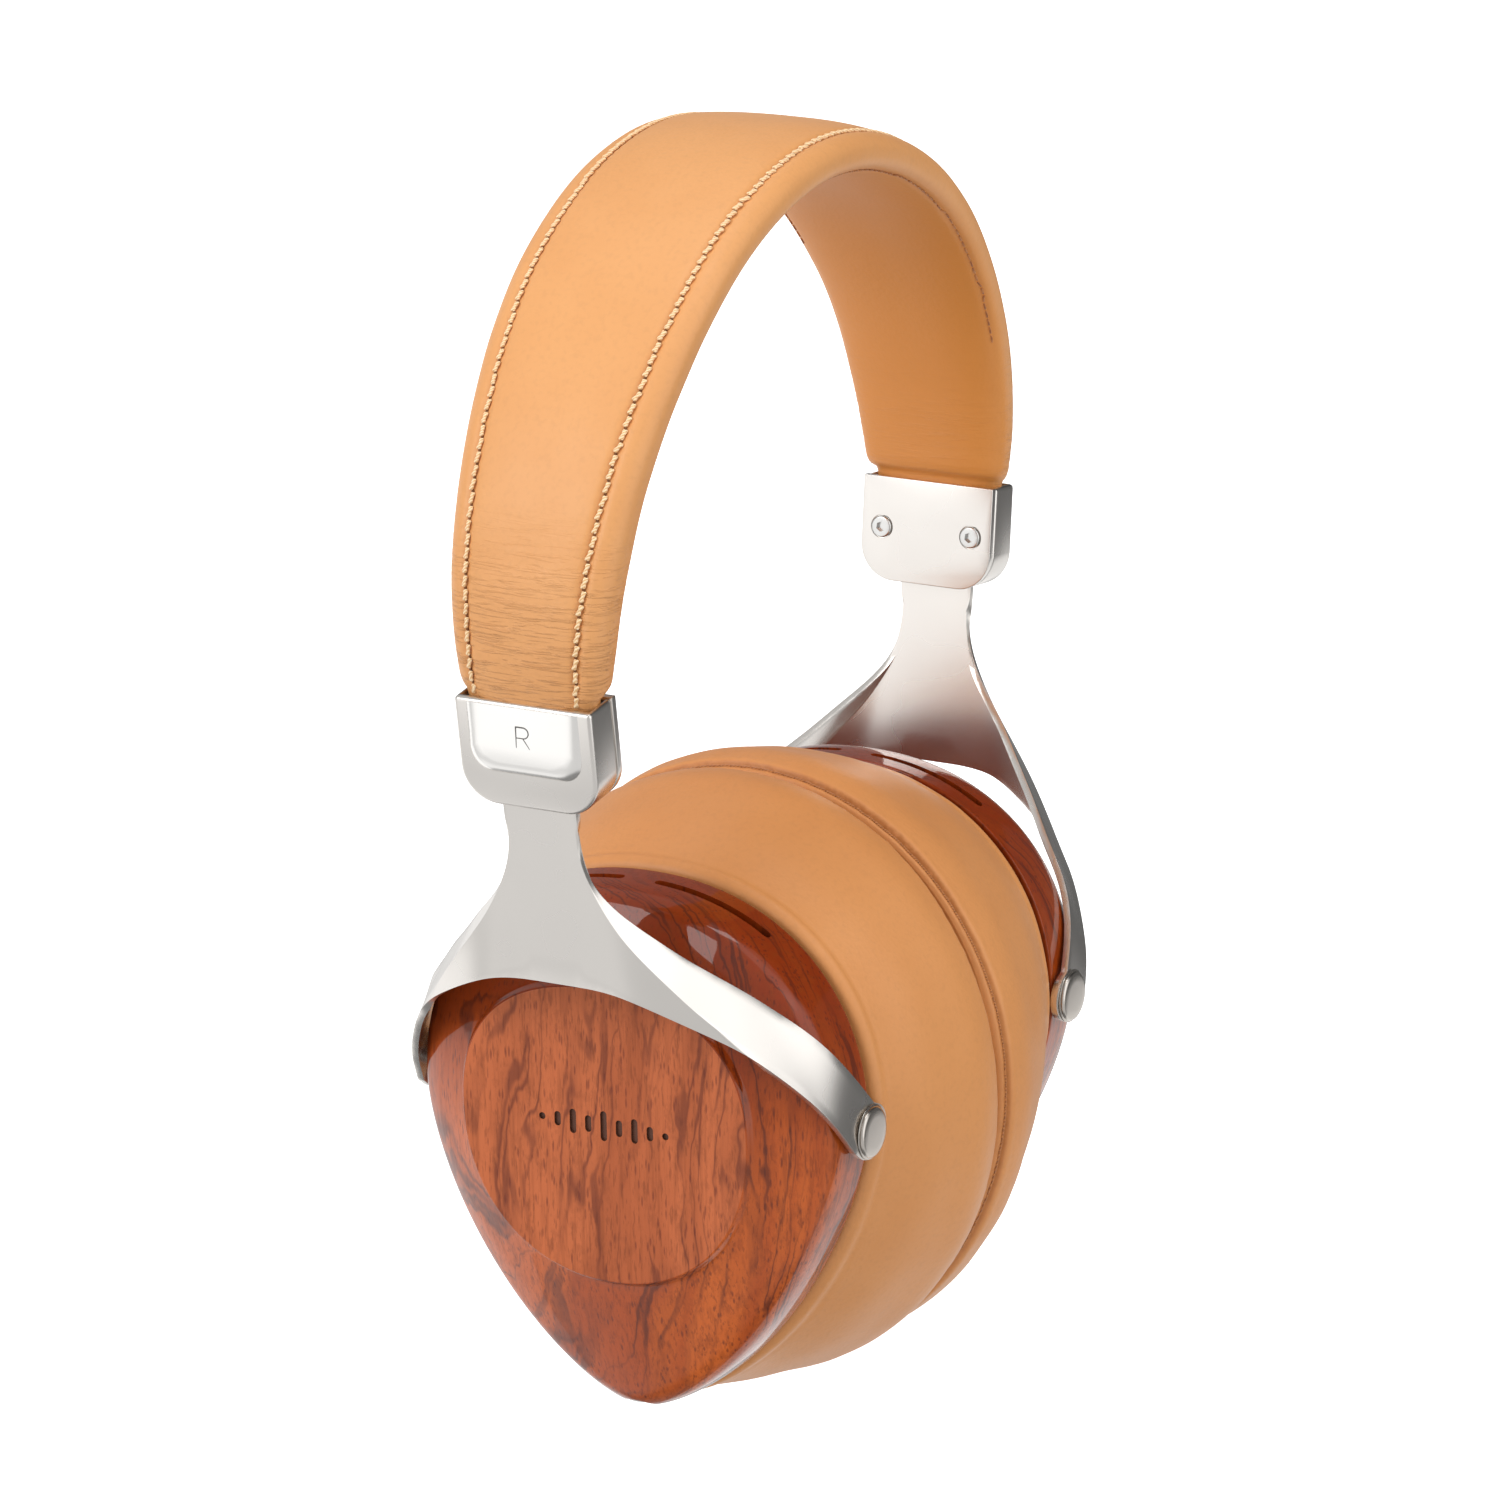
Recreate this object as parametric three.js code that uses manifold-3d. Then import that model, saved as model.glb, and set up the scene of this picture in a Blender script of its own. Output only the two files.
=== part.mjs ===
// Over-ear headphones: padded arch, two metal clamps with sliding yokes, two wooden cups with soft pads.
// Millimetres, +Z up, the wearer faces -Y, the right ear is at -X. X = 0 is the symmetry plane.
// The origin is where the arch's underside rests on its support.
import * as THREE from "three";
import Module from "manifold-3d";

const wasm = await Module();
wasm.setup();

// Overall
const GAP = 0.3;
// Arch
const ARCH_RADIUS = 76.1;
const ARCH_WALL = 1.0;
const ARCH_CORNER = 2.6;
const ARCH_STATIONS = 26;
const ARCH_END = 0.104;
const FOAM_GAP = 0.8;
const SPRING_WIDTH = 12.8;
// Clamp
const CLAMP_X = 73.04;
const CLAMP_TILT = 0.1287;
const CLAMP_THICK = 8.74;
const CLAMP_HEIGHT = 18.9;
const CLAMP_WIDTH = 26;
const CLAMP_CORNER = 6.5;
const PLATE_THICK = 1.35;
const SCREW_Y = 8.93;
const SCREW_DOWN = 9.2;
// Yoke
const STEM_WIDTH = 13.8;
const STEM_OUTER = 1.85;
const SHEET = 1.2;
const STEM_TOP = -5;
const TIP_RADIUS = 5.2;
// Cup, in its own frame: x outward from the symmetry plane, z from the pivot axis
const PIVOT_X = 38.2;
const PIVOT_Z = -81.28;
const ARM_FACE_Y = 42.95;
const CUP_HALF = 41.1;
const CUP_TOP = 39.5;
const CUP_BOTTOM = 57.4;
const CUP_RIM_X = 34.9;
const FACE_HALF = 27.7;
const FACE_TOP = 24.0;
const FACE_BOTTOM = 28.9;
const FACE_X = 54.0;
const EGG_CENTRE = -2;
const PAD_HALF = 50.4;
const PAD_UP = 56.3;
const PAD_DOWN = 54.8;
const PAD_CENTRE = -6.8;
const AROUND = 32;
const DRIVER_Z = -4;

const METAL = { color: 0xd8d3cb, roughness: 0.32, metalness: 1.0 };
const STEEL = { color: 0xb9bcc0, roughness: 0.35, metalness: 1.0 };
const LEATHER = { color: 0xd2924f, roughness: 0.55, metalness: 0.0 };
const WOOD = { color: 0x96482a, roughness: 0.25, metalness: 0.0 };
const PLASTIC = { color: 0x1d1d1f, roughness: 0.6, metalness: 0.0 };
const FOAM = { color: 0x55504a, roughness: 0.95, metalness: 0.0 };
const MESH = { color: 0x2a2a2c, roughness: 0.85, metalness: 0.0 };

const root = new THREE.Group();
root.name = "headphones";

// ---------- solids ----------

function geometryOf(points, triangles) {
  const flat = points.flatMap((p) => [p.x, p.y, p.z]);
  let volume = 0;
  triangles.forEach(([a, b, c]) => {
    volume += points[a].dot(new THREE.Vector3().crossVectors(points[b], points[c]));
  });
  const index = triangles.flatMap(([a, b, c]) => (volume < 0 ? [a, c, b] : [a, b, c]));
  const geometry = new THREE.BufferGeometry();
  geometry.setAttribute("position", new THREE.Float32BufferAttribute(flat, 3));
  geometry.setIndex(index);
  return geometry;
}

function manifoldOf(geometry) {
  const source = geometry.index ? geometry.toNonIndexed() : geometry;
  const position = source.getAttribute("position");
  const seen = new Map();
  const vertices = [];
  const triVerts = new Uint32Array(position.count);
  for (let i = 0; i < position.count; i++) {
    const p = [position.getX(i), position.getY(i), position.getZ(i)];
    const key = p.map((v) => Math.round(v * 1e4)).join(",");
    if (!seen.has(key)) {
      seen.set(key, vertices.length / 3);
      vertices.push(...p);
    }
    triVerts[i] = seen.get(key);
  }
  const kept = [];
  for (let i = 0; i < triVerts.length; i += 3) {
    const [a, b, c] = [triVerts[i], triVerts[i + 1], triVerts[i + 2]];
    if (a !== b && b !== c && a !== c) kept.push(a, b, c);
  }
  const mesh = new wasm.Mesh({
    numProp: 3,
    vertProperties: new Float32Array(vertices),
    triVerts: new Uint32Array(kept),
  });
  return new wasm.Manifold(mesh);
}

function geometryFrom(solid) {
  const mesh = solid.getMesh();
  const geometry = new THREE.BufferGeometry();
  const out = new Float32Array(mesh.numVert * 3);
  for (let i = 0; i < mesh.numVert; i++) {
    out.set(mesh.vertProperties.subarray(i * mesh.numProp, i * mesh.numProp + 3), i * 3);
  }
  geometry.setAttribute("position", new THREE.BufferAttribute(out, 3));
  geometry.setIndex(new THREE.BufferAttribute(mesh.triVerts, 1));
  return geometry;
}

function subtract(geometry, ...cutters) {
  const solid = cutters.reduce((s, c) => s.subtract(manifoldOf(c)), manifoldOf(geometry));
  return geometryFrom(solid);
}

function add(geometry, ...others) {
  const solid = others.reduce((s, c) => s.add(manifoldOf(c)), manifoldOf(geometry));
  return geometryFrom(solid);
}

// Joins equal rings of points; each end is closed with the given flat triangulation.
function loft(rings, capTriangles) {
  const n = rings[0].length;
  const points = rings.flat();
  const triangles = [];
  for (let i = 0; i < rings.length - 1; i++) {
    for (let j = 0; j < n; j++) {
      const k = (j + 1) % n;
      const [a, b, c, d] = [i * n + j, i * n + k, (i + 1) * n + k, (i + 1) * n + j];
      triangles.push([a, b, c], [a, c, d]);
    }
  }
  const last = (rings.length - 1) * n;
  capTriangles.forEach(([a, b, c]) => {
    triangles.push([c, b, a], [last + a, last + b, last + c]);
  });
  return geometryOf(points, triangles);
}

// A closed loop of profile points carried all the way round.
function ringSolid(loop, place) {
  const points = [];
  const triangles = [];
  const n = loop.length;
  for (let j = 0; j < AROUND; j++) {
    loop.forEach((p) => points.push(place(p, j)));
  }
  for (let j = 0; j < AROUND; j++) {
    const k = (j + 1) % AROUND;
    for (let i = 0; i < n; i++) {
      const m = (i + 1) % n;
      const [a, b, c, d] = [j * n + i, j * n + m, k * n + m, k * n + i];
      triangles.push([a, b, c], [a, c, d]);
    }
  }
  return geometryOf(points, triangles);
}

// A profile that starts and ends on the axis, carried all the way round.
function domeSolid(path, place) {
  const points = [];
  const triangles = [];
  const n = path.length;
  const first = place({ ...path[0], centre: true }, 0);
  const last = place({ ...path[n - 1], centre: true }, 0);
  for (let j = 0; j < AROUND; j++) {
    path.forEach((p) => points.push(place(p, j)));
  }
  const start = points.push(first) - 1;
  const end = points.push(last) - 1;
  for (let j = 0; j < AROUND; j++) {
    const k = (j + 1) % AROUND;
    for (let i = 0; i < n - 1; i++) {
      const [a, b, c, d] = [j * n + i, j * n + i + 1, k * n + i + 1, k * n + i];
      triangles.push([a, b, c], [a, c, d]);
    }
    triangles.push([start, j * n, k * n], [end, k * n + n - 1, j * n + n - 1]);
  }
  return geometryOf(points, triangles);
}

function box(x0, x1, y0, y1, z0, z1) {
  const geometry = new THREE.BoxGeometry(x1 - x0, y1 - y0, z1 - z0);
  return geometry.translate((x0 + x1) / 2, (y0 + y1) / 2, (z0 + z1) / 2);
}

// Turned about the Y axis; the profile's order is reversed if it would face inward.
function lathe(profile, segments) {
  let turned = 0;
  profile.forEach(([r, h], i) => {
    const [r2, h2] = profile[(i + 1) % profile.length];
    turned += r * h2 - r2 * h;
  });
  const ordered = turned < 0 ? [...profile].reverse() : profile;
  const points = ordered.map(([r, h]) => new THREE.Vector2(r, h));
  return new THREE.LatheGeometry(points, segments);
}

// ---------- naming and placing ----------

function addNode(name, geometry, look) {
  const mesh = new THREE.Mesh(geometry, new THREE.MeshStandardMaterial(look));
  mesh.name = name;
  root.add(mesh);
}

function mirrorX(geometry) {
  const copy = geometry.index ? geometry.toNonIndexed() : geometry.clone();
  const position = copy.getAttribute("position");
  for (let i = 0; i < position.count; i += 3) {
    const [p, q, r] = [0, 2, 1].map((k) => [
      -position.getX(i + k),
      position.getY(i + k),
      position.getZ(i + k),
    ]);
    position.setXYZ(i, ...p);
    position.setXYZ(i + 1, ...q);
    position.setXYZ(i + 2, ...r);
  }
  return copy;
}

function addPair(name, geometry, look) {
  geometry.translate(0, 0, -crownUnderside());
  addNode(name + "_l", geometry, look);
  addNode(name + "_r", mirrorX(geometry), look);
}

// The clamp's own frame: x outward, y across, z up along the leaning stem.
function fromClamp(geometry) {
  return geometry.rotateY(CLAMP_TILT).translate(CLAMP_X, 0, 0);
}

function clampPoint(out, y, down) {
  const c = Math.cos(CLAMP_TILT);
  const s = Math.sin(CLAMP_TILT);
  return new THREE.Vector3(CLAMP_X + out * c - down * s, y, -out * s - down * c);
}

// ---------- arch ----------

function blend(knots, s) {
  const last = knots.length - 1;
  const i = Math.min(Math.max(knots.findIndex((k) => k[0] > s) - 1, 0), last - 1);
  const at = s >= knots[last][0] ? last - 1 : i;
  const span = (s - knots[at][0]) / (knots[at + 1][0] - knots[at][0]);
  return knots[at][1] + (knots[at + 1][1] - knots[at][1]) * span;
}

function archCurve() {
  const half = [
    [27.1, ARCH_RADIUS - 0.9],
    [54.2, ARCH_RADIUS - 2.3],
    [74.1, ARCH_RADIUS - 2.9],
    [89.8, ARCH_RADIUS - 3.16],
    [97.9, ARCH_RADIUS - 3.8],
  ];
  const right = half.map(([deg, r]) => {
    const a = THREE.MathUtils.degToRad(deg);
    return new THREE.Vector3(r * Math.sin(a), 0, r * Math.cos(a));
  });
  const left = right.map((p) => new THREE.Vector3(-p.x, 0, p.z)).reverse();
  const crown = new THREE.Vector3(0, 0, ARCH_RADIUS);
  return new THREE.CatmullRomCurve3([...left, crown, ...right]);
}

const ARCH = archCurve();
const WIDTHS = [[0, 40.3], [0.35, 38.8], [0.7, 32.7], [0.9, 28.8], [1, 24.6]];
const THICKS = [[0, 9.1], [0.4, 9.2], [0.65, 9.9], [0.85, 10.9], [0.94, 10.4], [1, 8.3]];

// u runs over the curve; 0.1 and 0.9 are at the clamps.
function archFrame(u) {
  const at = ARCH.getPoint(u);
  const along = ARCH.getTangent(u);
  const out = new THREE.Vector3(-along.z, 0, along.x).normalize();
  if (out.dot(at) < 0) out.negate();
  const s = Math.min(Math.abs(u - 0.5) / 0.4, 1);
  return { at, out, width: blend(WIDTHS, s), thick: blend(THICKS, s) };
}

function archStations(from, to, count) {
  return Array.from({ length: count }, (_, i) => archFrame(from + ((to - from) * i) / (count - 1)));
}

// Height of the flat facet under the crown, above the clamps' top line.
function crownUnderside() {
  const middle = archStations(ARCH_END, 1 - ARCH_END, ARCH_STATIONS)[ARCH_STATIONS / 2];
  return middle.at.z - middle.out.z * (middle.thick / 2);
}

function corner(cy, cv, r, start, steps) {
  return Array.from({ length: steps + 1 }, (_, i) => {
    const a = start - (Math.PI / 2) * (i / steps);
    return [cy + r * Math.cos(a), cv + r * Math.sin(a)];
  });
}

// Left side, round the top and down the right side; sign -1 makes the underside.
function channelPath(width, thick, inset, split, sign) {
  const hy = width / 2 - inset;
  const hv = thick / 2 - inset;
  const r = ARCH_CORNER - inset * 0.8;
  const left = corner(-hy + r, hv - r, r, Math.PI, 3);
  const right = corner(hy - r, hv - r, r, Math.PI / 2, 3);
  const path = [[-hy, split], ...left, ...right, [hy, split]];
  return path.map(([y, v]) => [y, v * (v === split ? 1 : sign)]);
}

function placed(frame, section) {
  return section.map(([y, v]) => {
    const p = frame.at.clone().addScaledVector(frame.out, v);
    return new THREE.Vector3(p.x, y, p.z);
  });
}

function flatCap(section) {
  const contour = section.map(([y, v]) => new THREE.Vector2(y, v));
  const triangles = THREE.ShapeUtils.triangulateShape(contour, []);
  const turn = Math.sign(THREE.ShapeUtils.area(contour));
  return triangles.map(([a, b, c]) => {
    const same = Math.sign(THREE.ShapeUtils.area([a, b, c].map((i) => contour[i]))) === turn;
    return same ? [a, b, c] : [a, c, b];
  });
}

function archCover(sign, splitShare, splitGap) {
  const section = (f) => {
    const split = f.thick * splitShare + splitGap;
    const outer = channelPath(f.width, f.thick, 0, split, sign);
    const inner = channelPath(f.width, f.thick, ARCH_WALL, split, sign);
    return [...outer, ...inner.reverse()];
  };
  const frames = archStations(ARCH_END, 1 - ARCH_END, ARCH_STATIONS);
  const cap = flatCap(section(frames[0]));
  return loft(frames.map((f) => placed(f, section(f))), cap);
}

function archLayer(from, to, count, sizes) {
  const section = (f) => {
    const [half, low, high] = sizes(f);
    const soft = Math.min(1.2, (high - low) * 0.3);
    return [
      [-half, low + soft],
      [-half, high - soft],
      [-half + soft, high],
      [half - soft, high],
      [half, high - soft],
      [half, low + soft],
      [half - soft, low],
      [-half + soft, low],
    ];
  };
  const frames = archStations(from, to, count);
  return loft(frames.map((f) => placed(f, section(f))), flatCap(section(frames[0])));
}

function archSpring() {
  const section = [
    [-SPRING_WIDTH / 2, -0.5],
    [-SPRING_WIDTH / 2, 0.3],
    [SPRING_WIDTH / 2, 0.3],
    [SPRING_WIDTH / 2, -0.5],
  ];
  const rings = archStations(0.1, 0.9, 22).map((f) => placed(f, section));
  const tail = section.map(([y, v]) => clampPoint(-0.13 + v, y, 8));
  const tailLeft = tail.map((p) => new THREE.Vector3(-p.x, p.y, p.z));
  return loft([tailLeft, ...rings, tail], flatCap(section));
}

function buildArch() {
  const drop = (g) => g.translate(0, 0, -crownUnderside());
  addNode("headband_cover_top", drop(archCover(1, -0.1, GAP / 2)), LEATHER);
  addNode("headband_cover_under", drop(archCover(-1, -0.1, -GAP / 2)), LEATHER);
  const over = (f) => [f.width / 2 - 2.8, 0.7, f.thick / 2 - ARCH_WALL - FOAM_GAP];
  const under = (f) => [f.width / 2 - 2.8, ARCH_WALL + FOAM_GAP - f.thick / 2, -1.1];
  addNode("headband_foam_top", drop(archLayer(0.2, 0.8, 16, over)), FOAM);
  addNode("headband_foam_under", drop(archLayer(0.115, 0.885, 20, under)), FOAM);
  addNode("headband_spring", drop(archSpring()), STEEL);
}

// ---------- clamp ----------

function clampOutline(inset) {
  const half = CLAMP_WIDTH / 2 - inset;
  const low = -CLAMP_HEIGHT + inset;
  const r = CLAMP_CORNER - inset;
  const shape = new THREE.Shape();
  shape.moveTo(-half, -inset);
  shape.lineTo(-half, low + r);
  shape.absarc(-half + r, low + r, r, Math.PI, 1.5 * Math.PI, false);
  shape.lineTo(half - r, low);
  shape.absarc(half - r, low + r, r, 1.5 * Math.PI, 2 * Math.PI, false);
  shape.lineTo(half, -inset);
  return shape;
}

// Extrudes an upright outline (y across, z up) outward from x0 to x1.
function slab(shape, x0, x1, bevel) {
  const geometry = new THREE.ExtrudeGeometry(shape, {
    depth: x1 - x0 - 2 * bevel,
    bevelEnabled: bevel > 0,
    bevelThickness: bevel,
    bevelSize: bevel,
    bevelOffset: -bevel,
    bevelSegments: 1,
    curveSegments: 4,
  });
  const turn = new THREE.Matrix4().makeBasis(
    new THREE.Vector3(0, 1, 0),
    new THREE.Vector3(0, 0, 1),
    new THREE.Vector3(1, 0, 0),
  );
  return geometry.applyMatrix4(turn).translate(x0 + bevel, 0, 0);
}

function roundBar(radius, x0, x1, y, z, sides = 16) {
  const rod = new THREE.CylinderGeometry(radius, radius, x1 - x0, sides);
  return rod.rotateZ(Math.PI / 2).translate((x0 + x1) / 2, y, z);
}

function clampShell() {
  const half = CLAMP_THICK / 2;
  const inner = -half + PLATE_THICK + GAP;
  const body = slab(clampOutline(0), -half, half, 0.8);
  const panel = slab(shieldOutline(), half - 1, half + 0.45, 0.35);
  const hollow = slab(clampOutline(1.3), inner - 3, half - 1.5, 0);
  const posts = [-1, 1].map((s) => roundBar(1.7, inner, half - 1, s * SCREW_Y, -SCREW_DOWN));
  const holes = [-1, 1].map((s) => roundBar(1.1, inner - 1, 1.6, s * SCREW_Y, -SCREW_DOWN));
  const back = box(-20, inner, -20, 20, -30, 5);
  const mouth = box(inner - 1, half - 1.5, -11.7, 11.7, -4, 3);
  const slot = box(0.3, STEM_OUTER + GAP, -7.25, 7.25, -25, -10);
  let shell = subtract(add(body, panel), back, hollow, mouth, slot);
  shell = subtract(add(shell, ...posts), ...holes);
  return shell;
}

function shieldOutline() {
  const half = 10.4;
  const low = -12.6;
  const r = 3.5;
  const shape = new THREE.Shape();
  shape.moveTo(-half, -0.9);
  shape.lineTo(-half, low + r);
  shape.absarc(-half + r, low + r, r, Math.PI, 1.5 * Math.PI, false);
  shape.lineTo(half - r, low);
  shape.absarc(half - r, low + r, r, 1.5 * Math.PI, 2 * Math.PI, false);
  shape.lineTo(half, -0.9);
  return shape;
}

function clampPlate() {
  const half = CLAMP_THICK / 2;
  const plate = slab(clampOutline(0), -half, -half + PLATE_THICK, 0.3);
  const holes = [-1, 1].map((s) => roundBar(1.2, -half - 1, 0, s * SCREW_Y, -SCREW_DOWN));
  const sinks = [-1, 1].map((s) => {
    return roundBar(2.25, -half - 1, -half + 0.75, s * SCREW_Y, -SCREW_DOWN);
  });
  return subtract(plate, ...holes, ...sinks);
}

// Socket-head screw, its head on the inner face of the plate.
function clampScrew(side) {
  const face = -CLAMP_THICK / 2;
  const profile = [[0, 5.6], [0.8, 5.6], [0.8, 0.45], [1.95, 0.45], [1.95, -0.25], [1.7, -0.5]];
  const screw = lathe([...profile, [0.9, -0.5], [0.9, 0.1], [0, 0.1]], 12);
  return screw.rotateZ(-Math.PI / 2).translate(face, side * SCREW_Y, -SCREW_DOWN);
}

function slideGuide() {
  return box(-2.4, STEM_OUTER - SHEET - GAP, -6.4, 6.4, -16.9, -8.6);
}

function detentSpring() {
  const rings = [0, 0.25, 0.5, 0.75, 1].map((t) => {
    const out = 2.3 + 0.12 * Math.sin(Math.PI * t);
    const up = -4 - 10 * t;
    return [[-5, 0], [5, 0], [5, 0.3], [-5, 0.3]].map(([y, v]) => {
      return new THREE.Vector3(out + v - 0.1, y, up);
    });
  });
  return loft(rings, [[0, 1, 2], [0, 2, 3]]);
}

function buildClamps() {
  addPair("clamp_shell", fromClamp(clampShell()), METAL);
  addPair("clamp_plate", fromClamp(clampPlate()), METAL);
  addPair("clamp_screw_front", fromClamp(clampScrew(-1)), STEEL);
  addPair("clamp_screw_back", fromClamp(clampScrew(1)), STEEL);
  addPair("slide_guide", fromClamp(slideGuide()), PLASTIC);
  addPair("detent_spring", fromClamp(detentSpring()), STEEL);
}

// ---------- yoke ----------

// Points of the bent sheet in the clamp's frame: outward, across, down.
function spline(points) {
  return new THREE.CatmullRomCurve3(points.map(([a, y, h]) => new THREE.Vector3(a, y, h)));
}

// Pairs of edge points from the middle of the stem to where the arm begins.
function stemRows() {
  const half = STEM_WIDTH / 2;
  const top = [[0, STEM_TOP], [half - 1, STEM_TOP], [half, STEM_TOP + 1], [half, 8]];
  const low = [[0, 52], [2.5, 52], [5, 52], [7.5, 52.1]];
  return top.map(([y, h], i) => [
    new THREE.Vector3(STEM_OUTER, y, h),
    new THREE.Vector3(STEM_OUTER, ...low[i]),
  ]);
}

function armEdges() {
  const top = spline([
    [STEM_OUTER, STEM_WIDTH / 2, 21],
    [STEM_OUTER - 0.1, 7.3, 28],
    [0.9, 9.4, 34],
    [-0.4, 12.4, 39],
    [-2.6, 17.0, 44.4],
    [-9.0, 27.5, 54.3],
    [-17.4, 37.6, 66.2],
    [-21.8, 41.4, 73.2],
    [-26.0, ARM_FACE_Y, 80.4],
  ]);
  const low = spline([
    [STEM_OUTER, 10, 52.4],
    [STEM_OUTER - 0.1, 12.5, 52.9],
    [1.25, 15.6, 54],
    [0.4, 19.0, 55.6],
    [-1.9, 24.5, 58.9],
    [-5.0, 30.3, 63.3],
    [-8.5, 35.4, 68.7],
    [-12.9, 39.7, 76.0],
    [-18.4, ARM_FACE_Y, 86.6],
  ]);
  return { top, low };
}

function yokeRows() {
  const { top, low } = armEdges();
  const rows = stemRows();
  const steps = 18;
  for (let i = 0; i <= steps; i++) {
    const t = i / steps;
    rows.push([top.getPoint(t), low.getPoint(t)]);
  }
  const centre = pivotInClamp();
  const [a, b] = rows[rows.length - 1];
  const mid = a.clone().add(b).multiplyScalar(0.5);
  const ahead = centre.clone().sub(mid).setY(0).normalize();
  const across = a.clone().sub(b).setY(0).normalize();
  [0.2, 0.5, 0.75, 0.92].forEach((t) => {
    const turn = (t * Math.PI) / 2;
    const end = centre.clone().addScaledVector(ahead, TIP_RADIUS * Math.sin(turn));
    const reach = TIP_RADIUS * Math.cos(turn);
    rows.push([reach, -reach].map((r) => end.clone().addScaledVector(across, r)));
  });
  return rows;
}

function pivotInClamp() {
  const c = Math.cos(CLAMP_TILT);
  const s = Math.sin(CLAMP_TILT);
  const dx = PIVOT_X - CLAMP_X;
  return new THREE.Vector3(dx * c - PIVOT_Z * s, ARM_FACE_Y, -dx * s - PIVOT_Z * c);
}

function yoke() {
  const across = [0, 0.33, 0.67, 1];
  const half = yokeRows().map(([a, b]) => across.map((t) => a.clone().lerp(b, t)));
  const left = half.slice(1).map((row) => row.map((p) => new THREE.Vector3(p.x, -p.y, p.z)));
  const grid = [...left.reverse(), ...half];
  const outer = grid.map((row) => row.map((p) => new THREE.Vector3(p.x, p.y, -p.z)));
  const inner = outer.map((row, i) => row.map((p, j) => offsetInward(outer, i, j, p)));
  return sheetSolid(outer, inner);
}

function offsetInward(grid, i, j, p) {
  const i0 = Math.max(i - 1, 0);
  const i1 = Math.min(i + 1, grid.length - 1);
  const j0 = Math.max(j - 1, 0);
  const j1 = Math.min(j + 1, grid[0].length - 1);
  const along = grid[i1][j].clone().sub(grid[i0][j]);
  const over = grid[i][j1].clone().sub(grid[i][j0]);
  const normal = new THREE.Vector3().crossVectors(along, over).normalize();
  if (normal.x * 10 + normal.y * p.y < 0) normal.negate();
  return p.clone().addScaledVector(normal, -SHEET);
}

function sheetSolid(outer, inner) {
  const n = outer[0].length;
  const rows = outer.length;
  const points = [...outer.flat(), ...inner.flat()];
  const back = rows * n;
  const triangles = [];
  const at = (i, j) => i * n + j;
  for (let i = 0; i < rows - 1; i++) {
    for (let j = 0; j < n - 1; j++) {
      const [a, b, c, d] = [at(i, j), at(i + 1, j), at(i + 1, j + 1), at(i, j + 1)];
      triangles.push([a, b, c], [a, c, d]);
      triangles.push([back + c, back + b, back + a], [back + d, back + c, back + a]);
    }
    [[0, 1], [n - 1, -1]].forEach(([j, turn]) => {
      const [a, b] = turn > 0 ? [at(i, j), at(i + 1, j)] : [at(i + 1, j), at(i, j)];
      triangles.push([b, a, back + a], [b, back + a, back + b]);
    });
  }
  for (let j = 0; j < n - 1; j++) {
    const [a, b] = [at(0, j), at(0, j + 1)];
    const [c, d] = [at(rows - 1, j), at(rows - 1, j + 1)];
    triangles.push([a, b, back + b], [a, back + b, back + a]);
    triangles.push([d, c, back + c], [d, back + c, back + d]);
  }
  return geometryOf(points, triangles);
}

function pivotBar(radius, y0, y1) {
  const rod = new THREE.CylinderGeometry(radius, radius, y1 - y0, 16);
  return rod.translate(PIVOT_X, (y0 + y1) / 2, PIVOT_Z);
}

function buildYokes() {
  const bores = [pivotBar(1.8, 30, 50), pivotBar(1.8, -50, -30)];
  addPair("yoke", subtract(fromClamp(yoke()), ...bores), METAL);
}

// ---------- cup ----------

// Distance from the egg's middle to a rounded outline, by angle.
function eggRadius(half, up, down, upper, lower, centre = 0) {
  return (angle) => {
    const dy = Math.cos(angle);
    const dz = Math.sin(angle);
    let low = 0;
    let high = 90;
    for (let i = 0; i < 40; i++) {
      const r = (low + high) / 2;
      const z = r * dz + EGG_CENTRE - centre;
      const p = z > 0 ? upper : lower;
      const reach = z > 0 ? up : down;
      const inside = (Math.abs(r * dy) / half) ** p + (Math.abs(z) / reach) ** p < 1;
      if (inside) low = r;
      else high = r;
    }
    return low;
  };
}

const CUP_EGG = eggRadius(CUP_HALF, CUP_TOP, CUP_BOTTOM, 2.2, 1.58);
const FACE_EGG = eggRadius(FACE_HALF, FACE_TOP, FACE_BOTTOM, 2.35, 2.15);
const PAD_EGG = eggRadius(PAD_HALF, PAD_UP, PAD_DOWN, 2.03, 1.88, PAD_CENTRE);
const ANGLES = Array.from({ length: AROUND }, (_, j) => ((j + 0.5) / AROUND) * 2 * Math.PI);
const CUP_R = ANGLES.map(CUP_EGG);
const FACE_R = ANGLES.map(FACE_EGG);
const PAD_R = ANGLES.map(PAD_EGG);

// p: x outward, out = outset from the rim outline, face and pad = share of the way to
// the outline of the cup's face or of the pad.
function onEgg(p, j) {
  const rim = CUP_R[j] + (PAD_R[j] - CUP_R[j]) * (p.pad || 0) + (p.out || 0);
  const r = p.centre ? 0 : rim + (FACE_R[j] + (p.faceOut || 0) - rim) * (p.face || 0);
  const y = r * Math.cos(ANGLES[j]);
  const z = r * Math.sin(ANGLES[j]) + EGG_CENTRE + PIVOT_Z;
  return new THREE.Vector3(p.x, y, z);
}

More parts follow.
